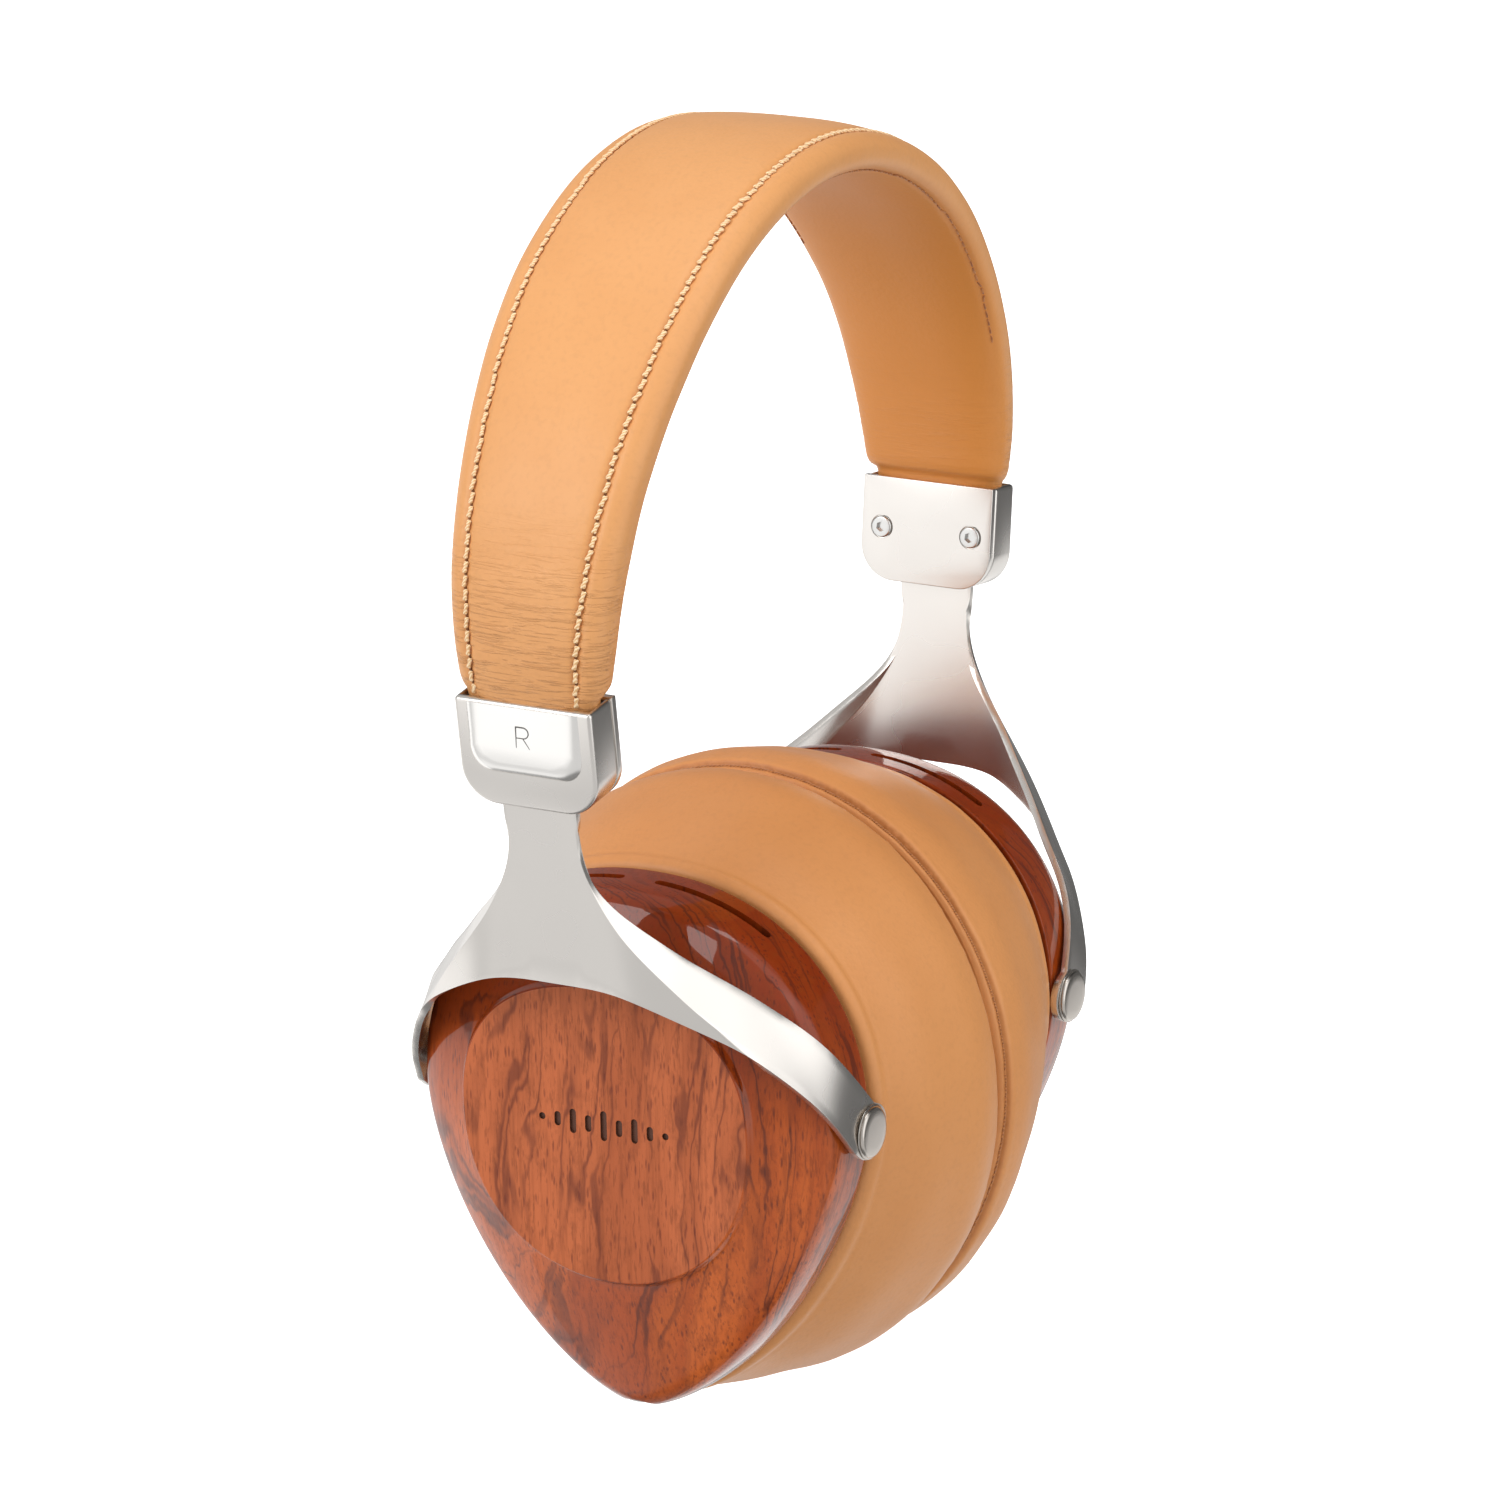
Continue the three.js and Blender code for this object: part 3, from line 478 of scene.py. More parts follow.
def wood_material(name, gloss):
    n = Surface(name)
    x, y, z = (n.axis(k) for k in range(3))
    warp = n.noise(30, 2, 0.5, n.stretch((1, 1, 0.45)))
    wobble = n.noise(105, 3, 0.6, n.stretch((1, 1, 0.40)))
    depth = n.times(n.math("ABSOLUTE", x), 0.85)
    across = n.plus(n.times(y, 0.42), depth)
    across = n.plus(across, n.times(warp, 0.013))
    across = n.plus(across, n.times(wobble, 0.0042))
    rings = n.node("ShaderNodeCombineXYZ")
    n.link(across, rings.inputs[0])
    n.link(n.times(z, 0.05), rings.inputs[2])
    ridge = n.math("ABSOLUTE", n.math("SUBTRACT", n.noise(360, 2, 0.5, rings.outputs[0]), 0.5))
    fading = n.fit(n.noise(75, 2, 0.5, n.stretch((1, 1, 0.5))), 0.40, 0.58, 0.25, 1.0)
    veins = n.times(n.fit(ridge, 0.032, 0.004), fading)
    shadow = n.times(n.fit(ridge, 0.12, 0.02), fading)
    bands = n.noise(170, 2, 0.5, rings.outputs[0])
    fibre = n.noise(1000, 3, 0.6, n.stretch((1, 1, 0.06)))
    flecks = n.noise(1700, 2, 0.7, n.stretch((1, 1, 0.15)))
    pores = n.cells(1350, n.stretch((1, 1, 0.20)))
    pore = n.times(n.fit(pores, 0.36, 0.14), n.fit(n.noise(210, 2), 0.42, 0.55))
    mottle = n.noise(420, 4, 0.7, n.stretch((1, 1, 0.6)))
    if gloss:
        light, mid, deep = (0.63, 0.130, 0.017), (0.45, 0.075, 0.008), (0.070, 0.011, 0.005)
        # painted shade: the lacquered wood is painted darker towards the top, together with random
        # darker patches
        height = n.fit(z, (PIVOT_Z - 16) * MM, (PIVOT_Z + 26) * MM, 0.0, 0.85)
        patch = n.times(n.fit(warp, 0.42, 0.68), 0.15)
        colour = n.mix(n.fit(bands, 0.36, 0.64), light, mid)
        colour = n.mix(n.math("MAXIMUM", height, patch), colour, (0.21, 0.019, 0.001))
    else:
        light, mid, deep = (0.58, 0.148, 0.050), (0.47, 0.112, 0.036), (0.11, 0.020, 0.012)
        colour = n.mix(n.fit(bands, 0.42, 0.60), light, mid)
    for mask, share, tint in (
            (n.fit(fibre, 0.45, 0.70), 0.38, shaded(mid, 0.55)),
            (n.fit(mottle, 0.50, 0.68), 0.35, shaded(mid, 0.60)),
            (n.fit(flecks, 0.54, 0.66), 0.42, shaded(mid, 0.40)),
            (shadow, 0.24 if gloss else 0.16, shaded(mid, 0.45)),
            (veins, 0.66 if gloss else 0.58, deep),
            (pore, 0.55, shaded(deep, 1.2))):
        colour = n.mix(n.times(mask, share), colour, tint)
    n.set(Base_Color=colour, Roughness=n.fit(fibre, 0.3, 0.7, 0.40, 0.52))
    if gloss:
        n.set(Specular_IOR_Level=0.08, Coat_Weight=1.0, Coat_Roughness=0.03, Coat_IOR=1.42)
        ripple = n.noise(130, 2)
        n.set(Coat_Normal=n.bump(ripple, 0.03, 0.35))
    else:
        n.set(Specular_IOR_Level=0.20, Coat_Weight=0.10, Coat_Roughness=0.35)
    n.set(Normal=n.bump(n.math("SUBTRACT", fibre, n.times(pore, 1.2)), 0.035, 0.5))
    return n.material


def grained_material(name, colour, rough, scale=700, depth=0.05, metallic=0.0):
    n = Surface(name)
    fine, broad = n.noise(scale, 3), n.noise(60, 2)
    n.set(Base_Color=n.mix(n.fit(broad, 0.3, 0.7), colour, shaded(colour, 0.7)))
    n.set(Roughness=n.fit(fine, 0.3, 0.7, rough - 0.05, rough + 0.08), Metallic=metallic)
    n.set(Normal=n.bump(fine, depth, 0.6))
    return n.material


def woven_material(name, colour):
    n = Surface(name)
    weave = [n.wave(420, 0.4, n.stretch((1, 1, 1), (turn, 0, 0)), bands_direction="Y",
                    wave_profile="SIN") for turn in (0, math.pi / 2)]
    height = n.times(*weave)
    n.set(Base_Color=n.mix(height, shaded(colour, 0.25), colour), Roughness=0.85)
    n.set(Normal=n.bump(height, 0.12, 0.8), Sheen_Weight=0.3)
    return n.material


TAN, TAN_DARK = (0.745, 0.355, 0.130), (0.715, 0.330, 0.115)
BAND_LEATHER = leather_material("band_leather", TAN, TAN_DARK, True)
PAD_LEATHER = leather_material("pad_leather", (0.715, 0.310, 0.104), (0.68, 0.285, 0.090), False)
CREAM = thread_material("cream_thread", (0.98, 0.74, 0.46), (0.74, 0.45, 0.20))
TONAL = thread_material("tonal_thread", (0.52, 0.20, 0.050), (0.34, 0.115, 0.026))
# painted shade: needle holes are dark capsules that stand for the shade inside each hole
NEEDLE_HOLE_SHADE = grained_material("needle_hole", (0.20, 0.070, 0.018), 0.8)
SATIN = metal_material("satin_metal", (0.80, 0.765, 0.725), 0.27)
CAP = metal_material("cap_metal", (0.62, 0.575, 0.525), 0.25)
POLISHED = metal_material("fine_satin_metal", (0.96, 0.94, 0.91), 0.24, 0.012)
STEEL = metal_material("bolt_steel", (0.72, 0.715, 0.70), 0.24, 0.012, (1, 1, 0.15))
GLOSS_WOOD = wood_material("lacquered_wood", True)
SATIN_WOOD = wood_material("satin_wood", False)
MARK = grained_material("engraved_fill", (0.11, 0.035, 0.016), 0.55)
LETTER = grained_material("engraved_letter", (0.11, 0.105, 0.10), 0.45)
PLASTIC = grained_material("black_plastic", (0.022, 0.022, 0.024), 0.5)
FELT = grained_material("grey_felt", (0.50, 0.48, 0.44), 0.95, 1400, 0.3)
CLOTH = woven_material("black_cloth", (0.03, 0.03, 0.032))
FILM = grained_material("driver_film", (0.70, 0.68, 0.62), 0.25, 300, 0.02)

# ---- headband
END = 90.4
OUTER = [(0, 80.68), (0.3, 79.78), (0.6, 78.62), (0.82, 78.75), (0.92, 78.05), (0.97, 77.35),
         (1, 76.5), (1.016, 75.9)]
THICK = [(0, 9.1), (0.4, 9.25), (0.65, 10.0), (0.85, 10.9), (0.94, 10.3), (0.975, 9.7),
         (0.989, 9.1), (0.9965, 7.2), (1.016, 6.6)]
WIDTH = [(0, 40.3), (0.35, 38.75), (0.7, 33.4), (0.9, 29.6), (0.96, 27.9), (0.98, 27.2),
         (0.99, 26.2), (0.9965, 24.5), (1.016, 23.8)]
SEAM = [(0, 15.69), (0.35, 14.95), (0.7, 12.3), (0.9, 10.5), (0.96, 10.0), (1.016, 9.6)]
BAND_END = 1.014
HALF_ARC = 78.0 * math.radians(END)
STITCH = 2.3
STITCH_SPAN = {-1: 0.74, 1: 0.55}  # how far the inner seam runs on the front and back edges


def even(knots):
    return [(-x, y) for x, y in knots[:0:-1]] + list(knots)


def band_sizes(s):
    return tuple(float(monotone(even(k), [s])[0]) for k in (OUTER, THICK, WIDTH))


def band_axes(s):
    """Middle point and outward direction in the X-Z plane; s runs from -1 (right) to 1 (left)."""
    outer, thick, _ = band_sizes(s)
    step = 1e-3
    o2 = band_sizes(min(s + step, BAND_END))[0]
    o1 = band_sizes(max(s - step, -BAND_END))[0]
    a, a1, a2 = (math.radians(END * v) for v in
                 (s, max(s - step, -BAND_END), min(s + step, BAND_END)))
    p = np.array([math.sin(a), math.cos(a)]) * outer
    along = (np.array([math.sin(a2), math.cos(a2)]) * o2
             - np.array([math.sin(a1), math.cos(a1)]) * o1)
    along /= np.linalg.norm(along)
    out = np.array([-along[1], along[0]])
    if out @ p < 0:
        out = -out
    return p - out * thick / 2, out


TOP_POWER, LOW_POWER = 2.9, 3.0


def loop_normals(loop):
    normal = np.roll(loop, -1, 0) - np.roll(loop, 1, 0)
    normal = np.stack([normal[:, 1], -normal[:, 0]], 1)
    return normal / np.linalg.norm(normal, axis=1)[:, None]


def band_section(s, count):
    """(y, v) loop: v is outward from the middle; it starts at the inner middle."""
    _, thick, width = band_sizes(s)
    t = np.linspace(-math.pi / 2, 1.5 * math.pi, 720, endpoint=False)
    c, d = np.cos(t), np.sin(t)
    power = np.where(d > 0, 2 / TOP_POWER, 2 / LOW_POWER)
    y = width / 2 * np.sign(c) * np.abs(c) ** power
    v = thick / 2 * np.sign(d) * np.abs(d) ** power
    v += np.where(d > 0, 0.25 * (1 - (2 * y / width) ** 2) - 0.1, 0)
    return resample(np.stack([y, v], 1), count)


def seam_offset(s):
    """How far the cream seam lies from the band's middle line."""
    return float(monotone(even(SEAM), [s])[0])


def inner_inset(s):
    return 2.6 - 1.5 * min(1.0, abs(s) / 0.62) ** 1.6


def band_shape(stations, count):
    """Rows of band points with the sewn channels pressed in."""
    rows = []
    for s in np.linspace(-BAND_END, BAND_END, stations):
        middle, out = band_axes(s)
        width = band_sizes(s)[2]
        loop = band_section(s, count)
        normal = loop_normals(loop)
        y, v = loop[:, 0], loop[:, 1]
        seam = seam_offset(s)
        stitch = 0.5 + 0.5 * math.cos(2 * math.pi * s * HALF_ARC / STITCH)
        near = np.minimum(1, np.maximum(0, 1 - (abs(s) - 0.96) / 0.05))
        top = np.where(v > 0, np.exp(-((np.abs(y) - seam) / 0.75) ** 2), 0)
        press = (0.42 + 0.26 * stitch) * near * top
        puff = np.where(v > 0, np.exp(-((np.abs(y) - seam - 2.1) / 1.5) ** 2), 0) * 0.14
        low_y = width / 2 - inner_inset(s)
        low = np.where(v < 0, np.exp(-((np.abs(y) - low_y) / 0.45) ** 2), 0)
        low *= 0.22 * min(1.0, max(0.0, (0.80 - abs(s)) / 0.16))
        crease = max(0.0, min(1.0, (abs(s) - 0.62) / 0.25))
        shift = -press + puff - low
        for i in range(count):
            x3, z3 = middle + out * v[i]
            if crease:
                p = (x3 * 0.35, y[i] * 0.2, z3 * 2.1)
                depth = 0.085 * crease * (0.4 + 0.6 * (v[i] > -3))
                shift[i] -= depth * max(0, fractal(p, 1.5, 3.0, 2))
            shift[i] += 0.10 * fractal((x3, y[i], z3), 21, 7.0, 2)
        loop = loop + normal * shift[:, None]
        rows.append([(middle[0] + out[0] * b, a, middle[1] + out[1] * b) for a, b in loop])
    rows = np.array(rows)
    rows[:, :, 2] += CLAMP_Z
    return rows


def band_seam(s, offset, outer_side, hand):
    """Point and normal on a seam line, offset from the band's middle line."""
    middle, out = band_axes(s)
    loop = band_section(s, 240)
    ok = (loop[:, 1] > 0) == outer_side
    k = int(np.argmin(np.where(ok, np.abs(loop[:, 0] - hand * offset), 1e9)))
    a, b = loop[k]
    na, nb = loop_normals(loop)[k]
    point = np.array([middle[0] + out[0] * b, a, middle[1] + out[1] * b + CLAMP_Z])
    direction = np.array([out[0] * nb, na, out[1] * nb])
    return point, direction


def seam_stitches(line, pitch, length, radius, sink, twist, dots):
    """Stitches and needle holes along line, a list of (point, normal)."""
    points = np.array([p for p, _ in line])
    normals = np.array([d for _, d in line])
    run = np.r_[0, np.cumsum(np.linalg.norm(np.diff(points, axis=0), axis=1))]
    threads, holes = [], []
    rng = random.Random(11)
    for k in range(int(run[-1] / pitch)):
        at = (k + 0.5) * pitch

        def here(value, table):
            return np.array([np.interp(value, run, table[:, i]) for i in range(3)])

        a, b, up = here(at - length / 2, points), here(at + length / 2, points), here(at, normals)
        up /= np.linalg.norm(up)
        along = (b - a) / np.linalg.norm(b - a)
        across = np.cross(along, up)
        lift = up * (radius * 0.55 - sink)
        for turn in ((-1, 1) if twist else (0,)):
            lean = across * (turn * radius * (0.34 + 0.1 * rng.random()) + (0.15 if twist else 0))
            threads.append(capsule(a + lift - lean, b + lift + lean,
                                   radius * (0.74 if twist else 1) * (0.95 + 0.1 * rng.random())))
        # each needle hole is a dark sunk capsule: painted shade
        if dots:
            hole = here(at + pitch / 2, points) - up * (sink - 0.02)
            holes.append(capsule(hole - along * 0.12, hole + along * 0.12, radius * 0.62, 8, 3))
    return threads, holes


def build_headband():
    stations, count = ((440, 176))
    rows = band_shape(stations, count)
    faces = grid_faces(stations, count)
    faces += [tuple(range(count)), tuple(range((stations - 1) * count, stations * count))[::-1]]
    band = solid("headband_leather", rows.reshape(-1, 3), faces, 60)
    dress(band, BAND_LEATHER, "headband", "leather", "headband_cover_top",
          "headband_cover_under", "headband_foam_top", "headband_foam_under")
    threads, holes, fine = [], [], []
    for hand in (-1, 1):
        line = [band_seam(s, seam_offset(s), True, hand) for s in np.linspace(-1.0, 1.0, 240)]
        made = seam_stitches(line, STITCH, 1.34, 0.40, 0.28, True, True)
        threads += made[0]
        holes += made[1]
        line = [band_seam(s, band_sizes(s)[2] / 2 - inner_inset(s), False, hand)
                for s in np.linspace(-1, 1, 240) * STITCH_SPAN[hand]]
        fine += seam_stitches(line, 1.9, 1.25, 0.16, 0.14, False, False)[0]
    dress(joined("headband_stitches", threads), CREAM, "headband", "leather")
    dress(joined("headband_needle_holes", holes), NEEDLE_HOLE_SHADE, "headband", "leather")
    dress(joined("headband_inner_stitches", fine), TONAL, "headband", "leather")


# ---- clamps
def clamp_place(out, y, down):
    """Clamp frame to the left side's place in the row frame."""
    return (CLAMP_X + out * CT - down * ST, y, CLAMP_Z - out * ST - down * CT)


def clamp_outline(inset, top, low, half, corner, steps=14):
    """(y, down) outline, counter-clockwise seen from outside."""
    h, r = half - inset, corner - inset
    bottom = low - inset
    out = [(-h, top)]
    out += [(-h + r - r * math.cos(t), bottom - r + r * math.sin(t))
            for t in np.linspace(0, math.pi / 2, steps)]
    out += [(h - r + r * math.sin(t), bottom - r + r * math.cos(t))
            for t in np.linspace(0, math.pi / 2, steps)]
    out.append((h, top))
    return out


def slab(outline, a0, a1):
    return prism(outline, a0, a1, lambda y, h, a: clamp_place(a, y, h))


def build_clamp_left():
    half = CLAMP_THICK / 2
    inner = -half + 1.35
    outline = clamp_outline(0, 0, CLAMP_DEPTH, CLAMP_HALF, CLAMP_CORNER)
    shell = solid("clamp_body_l", *slab(outline, inner + 0.06, half))
    bevelled(shell, 0.75, 4, 40)
    mouth = solid("m", *slab(clamp_outline(0, -2, 3.2, 12.3, 1.2), inner - 2, half - 1.05))
    slot = solid("s", *prism(stadium(1.25, 0, 0.78, 7.1, 5), 10, 30, clamp_place))
    carve(shell, [mouth, slot], 28)
    bevelled(shell, 0.12, 2, 50, 35)
    panel = shield_panel()
    plate = solid("clamp_back_l", *slab(outline, -half, inner))
    bevelled(plate, 0.2, 3, 40)
    sinks = [solid("k", *bolt_prism(y, 2.2, -half - 1, -half + 0.55)) for y in (-BOLT_Y, BOLT_Y)]
    carve(plate, sinks, 28)
    return shell, panel, plate


def bolt_prism(y, r, a0, a1, sides=40, turn=0.0):
    outline = [(y + r * math.cos(t + turn), BOLT_DOWN + r * math.sin(t + turn))
               for t in circle(sides)]
    return slab(outline, a0, a1)


def shield_panel():
    """Soft-edged raised shield on the clamp's outer face."""
    half = CLAMP_THICK / 2
    outline = np.array(clamp_outline(0, 0.55, 12.7, 10.55, 3.9, 16))
    rows = []
    for inset, lift in ((0, -0.4), (0, 0.02), (0.1, 0.16), (0.34, 0.44), (0.7, 0.72), (1.15, 0.90),
                        (1.7, 0.98), (2.4, 1.0)):
        pts = []
        for y, h in outline:
            slope = 0.10 + 0.90 * min(1.0, max(0.0, h) / 11.5)
            yy = y - np.sign(y) * min(abs(y), inset)
            hh = h - inset * max(0, (h - 3) / 9.7) if h > 3 else h
            pts.append(clamp_place(half + (lift * slope if lift > 0 else lift), yy, hh))
        rows.append(pts)
    faces = tube_faces(len(rows), len(outline))
    return solid("clamp_shield_l", np.array(rows).reshape(-1, 3), faces, 50)


def clamp_bolt(y):
    """Socket-head screw on the inner plate."""
    half = CLAMP_THICK / 2
    head = solid("clamp_bolt", *bolt_prism(y, 1.95, -half - 0.45, -half + 0.5, 48))
    bevelled(head, 0.28, 3, 50)
    socket = solid("h", *bolt_prism(y, 0.98, -half - 1.2, -half + 0.25, 6, 0.4))
    return carve(head, [socket], 30)


def letter_strokes(letter):
    if letter == "L":
        return [[(-1.4, -2.1), (-1.4, 2.1), (1.4, 2.1)]]
    bowl = [(-1.4 + 1.6 + 1.15 * math.sin(t), -1.0 - 1.1 * math.cos(t))
            for t in np.linspace(0, math.pi, 14)]
    return [[(-1.4, 2.1), (-1.4, -2.1)] + bowl + [(-1.4, 0.1)], [(0.1, 0.1), (1.5, 2.1)]]


LETTER_SIZE = 0.86


def build_letter(name, letter, hand):
    """A thin side letter; hand mirrors it so that it reads the right way on each side."""
    def place(y, h):
        down = h * LETTER_SIZE + 5.6
        out = CLAMP_THICK / 2 + 0.09 + 0.078 * down
        x, y, z = clamp_place(out, y * hand * LETTER_SIZE, down)
        return hand * x, y, z

    return outward(joined(name, [capsule(place(*a), place(*b), 0.15, 8, 3)
                                 for stroke in letter_strokes(letter)
                                 for a, b in zip(stroke[:-1], stroke[1:])]))


def build_clamps():
    shell, panel, plate = build_clamp_left()
    front, back = (clamp_bolt(y) for y in (-BOLT_Y, BOLT_Y))
    for ob, base, material, *nodes in (
            (shell, "clamp_body_", SATIN, "clamp_shell_"),
            (panel, "clamp_shield_", POLISHED),
            (plate, "clamp_back_", SATIN, "clamp_plate_"),
            (front, "clamp_bolt_front_", STEEL, "clamp_screw_front_"),
            (back, "clamp_bolt_back_", STEEL, "clamp_screw_back_")):
        slot = "steel" if material is STEEL else "satin_metal"
        dress_pair(ob, base, material, "headband", slot, *nodes)
    for tag, side, word in SIDES:
        letter = build_letter("side_letter_" + tag, word[0].upper(), side)
        dress(letter, LETTER, "headband", "satin_metal")


# ---- yokes
ARM_TOP = [(1.85, 6.9, 8), (1.85, 6.9, 15), (1.85, 6.95, 22), (1.2, 7.0, 28), (0.83, 8.7, 33.3),
           (-0.38, 12.2, 38.2), (-2.86, 16.9, 43.2), (-6.34, 21.9, 48.6), (-10.5, 27.3, 54.1),
           (-14.7, 32.7, 60.1), (-18.2, 37.8, 66.2), (-21.9, 41.2, 73.2), (-26.0, 42.95, 80.4)]
ARM_FOLD = [(1.85, 6.35, 8.4), (1.85, 6.35, 15.4), (1.85, 6.42, 22.5), (1.85, 6.9, 28.4),
            (1.85, 8.75, 33.9), (1.75, 12.0, 39.8), (1.1, 16.1, 45.3), (-0.6, 21.6, 51.9),
            (-3.7, 27.6, 59.2), (-9.25, 34.9, 67.6), (-13.1, 39.0, 74.0), (-16.2, 41.55, 79.8),
            (-19.3, 42.95, 85.8)]
ARM_LOW = [(1.85, 5.0, 52.02), (1.85, 5.6, 52.03), (1.85, 6.2, 52.04), (1.85, 8.6, 52.2),
           (1.83, 11.6, 52.65), (1.5, 15.0, 53.7), (0.2, 19.6, 55.95), (-2.0, 24.8, 59.1),
           (-5.1, 30.4, 63.3), (-8.5, 35.2, 68.7), (-12.4, 39.2, 75.1), (-15.4, 41.6, 80.7),
           (-18.4, 42.95, 86.6)]


def yoke_rows():
    """Outer-face rows (top, fold, low point) from the middle of the stem to the arm's tip."""
    rows = [((STEM_OUT, y * 1.5, -5), (STEM_OUT, y * 1.5, -4.4), (STEM_OUT, y, 52))
            for y in np.linspace(0, 3.8, 6)]
    rows += [((STEM_OUT, 6.4, -4.85), (STEM_OUT, 6.1, -4.2), (STEM_OUT, 4.3, 52.01)),
             ((STEM_OUT, 6.86, -3.4), (STEM_OUT, 6.33, -2.9), (STEM_OUT, 4.6, 52.01))]
    top, fold, low = (natural(knots, 90) for knots in (ARM_TOP, ARM_FOLD, ARM_LOW))
    rows += [(a, m, b) for a, m, b in zip(top, fold, low)]
    dx = PIVOT_X - CLAMP_X
    down = CLAMP_Z - PIVOT_Z
    centre = np.array([dx * CT + down * ST, ARM_Y, -dx * ST + down * CT])
    a, b = np.array(rows[-1][0]), np.array(rows[-1][2])
    middle = (a + b) / 2
    ahead = (centre - middle) * (1, 0, 1)
    ahead /= np.linalg.norm(ahead)
    across = (a - b) * (1, 0, 1)
    width = np.linalg.norm(across) / 2
    across /= width * 2
    reach0 = np.linalg.norm((centre - middle) * (1, 0, 1))
    for t in np.linspace(0.25, 1, 4):
        w = width + (TIP_R - width) * t
        mid = middle + ahead * reach0 * t
        mid[1] = ARM_Y
        rows.append((mid + across * w, mid - across * w * 0.76, mid - across * w))
    for t in list(np.linspace(0.08, 0.9, 12)) + [0.96, 0.99]:
        end = centre + ahead * TIP_R * math.sin(t * math.pi / 2)
        reach = TIP_R * math.cos(t * math.pi / 2)
        rows.append((end + across * reach, end - across * reach * 0.76, end - across * reach))
    return rows


def yoke_row(top, fold, low):
    """Points down one row, close together beside the fold."""
    top, fold, low = (np.array(p, float) for p in (top, fold, low))
    near = min(0.3, 0.4 / np.linalg.norm(top - fold))
    far = min(0.3, 0.4 / np.linalg.norm(low - fold))
    points = [top + (fold - top) * t for t in np.linspace(0, 1 - near, 6)]
    points.append(fold)
    points += [fold + (low - fold) * t for t in np.linspace(far, 1, 12)]
    return points


def build_yoke_left():
    half = [yoke_row(*row) for row in yoke_rows()]
    cols = len(half[0])
    other = [[p * (1, -1, 1) for p in row] for row in half[:0:-1]]
    grid = np.array([[clamp_place(*p) for p in row] for row in other + half])
    along = np.gradient(grid, axis=0)
    over = np.gradient(grid, axis=1)
    normal = np.cross(along, over)
    normal /= np.linalg.norm(normal, axis=2)[:, :, None] + 1e-12
    flip = normal[:, :, 0] * 10 + normal[:, :, 1] * grid[:, :, 1] < 0
    normal[flip] *= -1
    inner = grid - normal * SHEET
    rows, count = len(grid), len(grid) * cols
    points = np.vstack([grid.reshape(-1, 3), inner.reshape(-1, 3)])
    front = grid_faces(rows, cols, wrap_cols=False)
    back = [tuple(count + i for i in f[::-1]) for f in front]
    rim = list(range(cols)) + [i * cols + cols - 1 for i in range(1, rows)]
    rim += [(rows - 1) * cols + j for j in range(cols - 2, -1, -1)]
    rim += [i * cols for i in range(rows - 2, 0, -1)]
    sides = [(a, b, count + b, count + a) for a, b in zip(rim, rim[1:] + rim[:1])]
    yoke = solid("yoke_frame_l", points, front + back + sides)
    bevelled(yoke, 0.30, 3, 60, 50)
    return yoke


def build_yokes():
    dress_pair(build_yoke_left(), "yoke_frame_", SATIN, "yoke_", "satin_metal", "yoke_")


# ---- cups
def egg(half, up, down, p_up, p_down, angles, centre=0.0):
    low, high = np.zeros_like(angles), np.full_like(angles, 120.0)
    dy, dz = np.cos(angles), np.sin(angles)
    for _ in range(40):
        r = (low + high) / 2
        z = r * dz + EGG_C - centre
        p = np.where(z > 0, p_up, p_down)
        reach = np.where(z > 0, up, down)
        inside = (np.abs(r * dy) / half) ** p + (np.abs(z) / reach) ** p < 1
        low, high = np.where(inside, r, low), np.where(inside, high, r)
    return low


def eggs(count):
    t = circle(count) - math.pi / 2
    return (t, egg(41.0, 39.5, 56.8, 2.2, 1.56, t), egg(27.7, 24.0, 28.9, 2.35, 2.15, t),
            egg(49.9, 54.9, 55.0, 2.04, 1.94, t, -6.2))


def on_egg(x, radius, t):
    """A ring of points at x outward on the left side."""
    return np.stack([np.full_like(t, x), radius * np.cos(t),
                     radius * np.sin(t) + EGG_C + PIVOT_Z], 1)


def soften(radius, times):
    """Rounds the pointed bottom of a ring a little."""
    for _ in range(times):
        radius = (np.roll(radius, 1) + 2 * radius + np.roll(radius, -1)) / 4
    return radius


SLOPE = [(34.9, 0.0), (40, 0.018), (43.5, 0.045), (46.0, 0.115), (48.2, 0.34), (50.6, 0.69),
         (52.5, 1.0)]


MOTIF_X = 53.5
# middle and half height of each engraved bar
MOTIF = [(-12, 0.62), (-9, 1.3), (-6, 2.2), (-3, 1.5), (0, 2.7), (3, 1.5), (6, 2.2), (9, 1.3),
         (12, 0.62)]


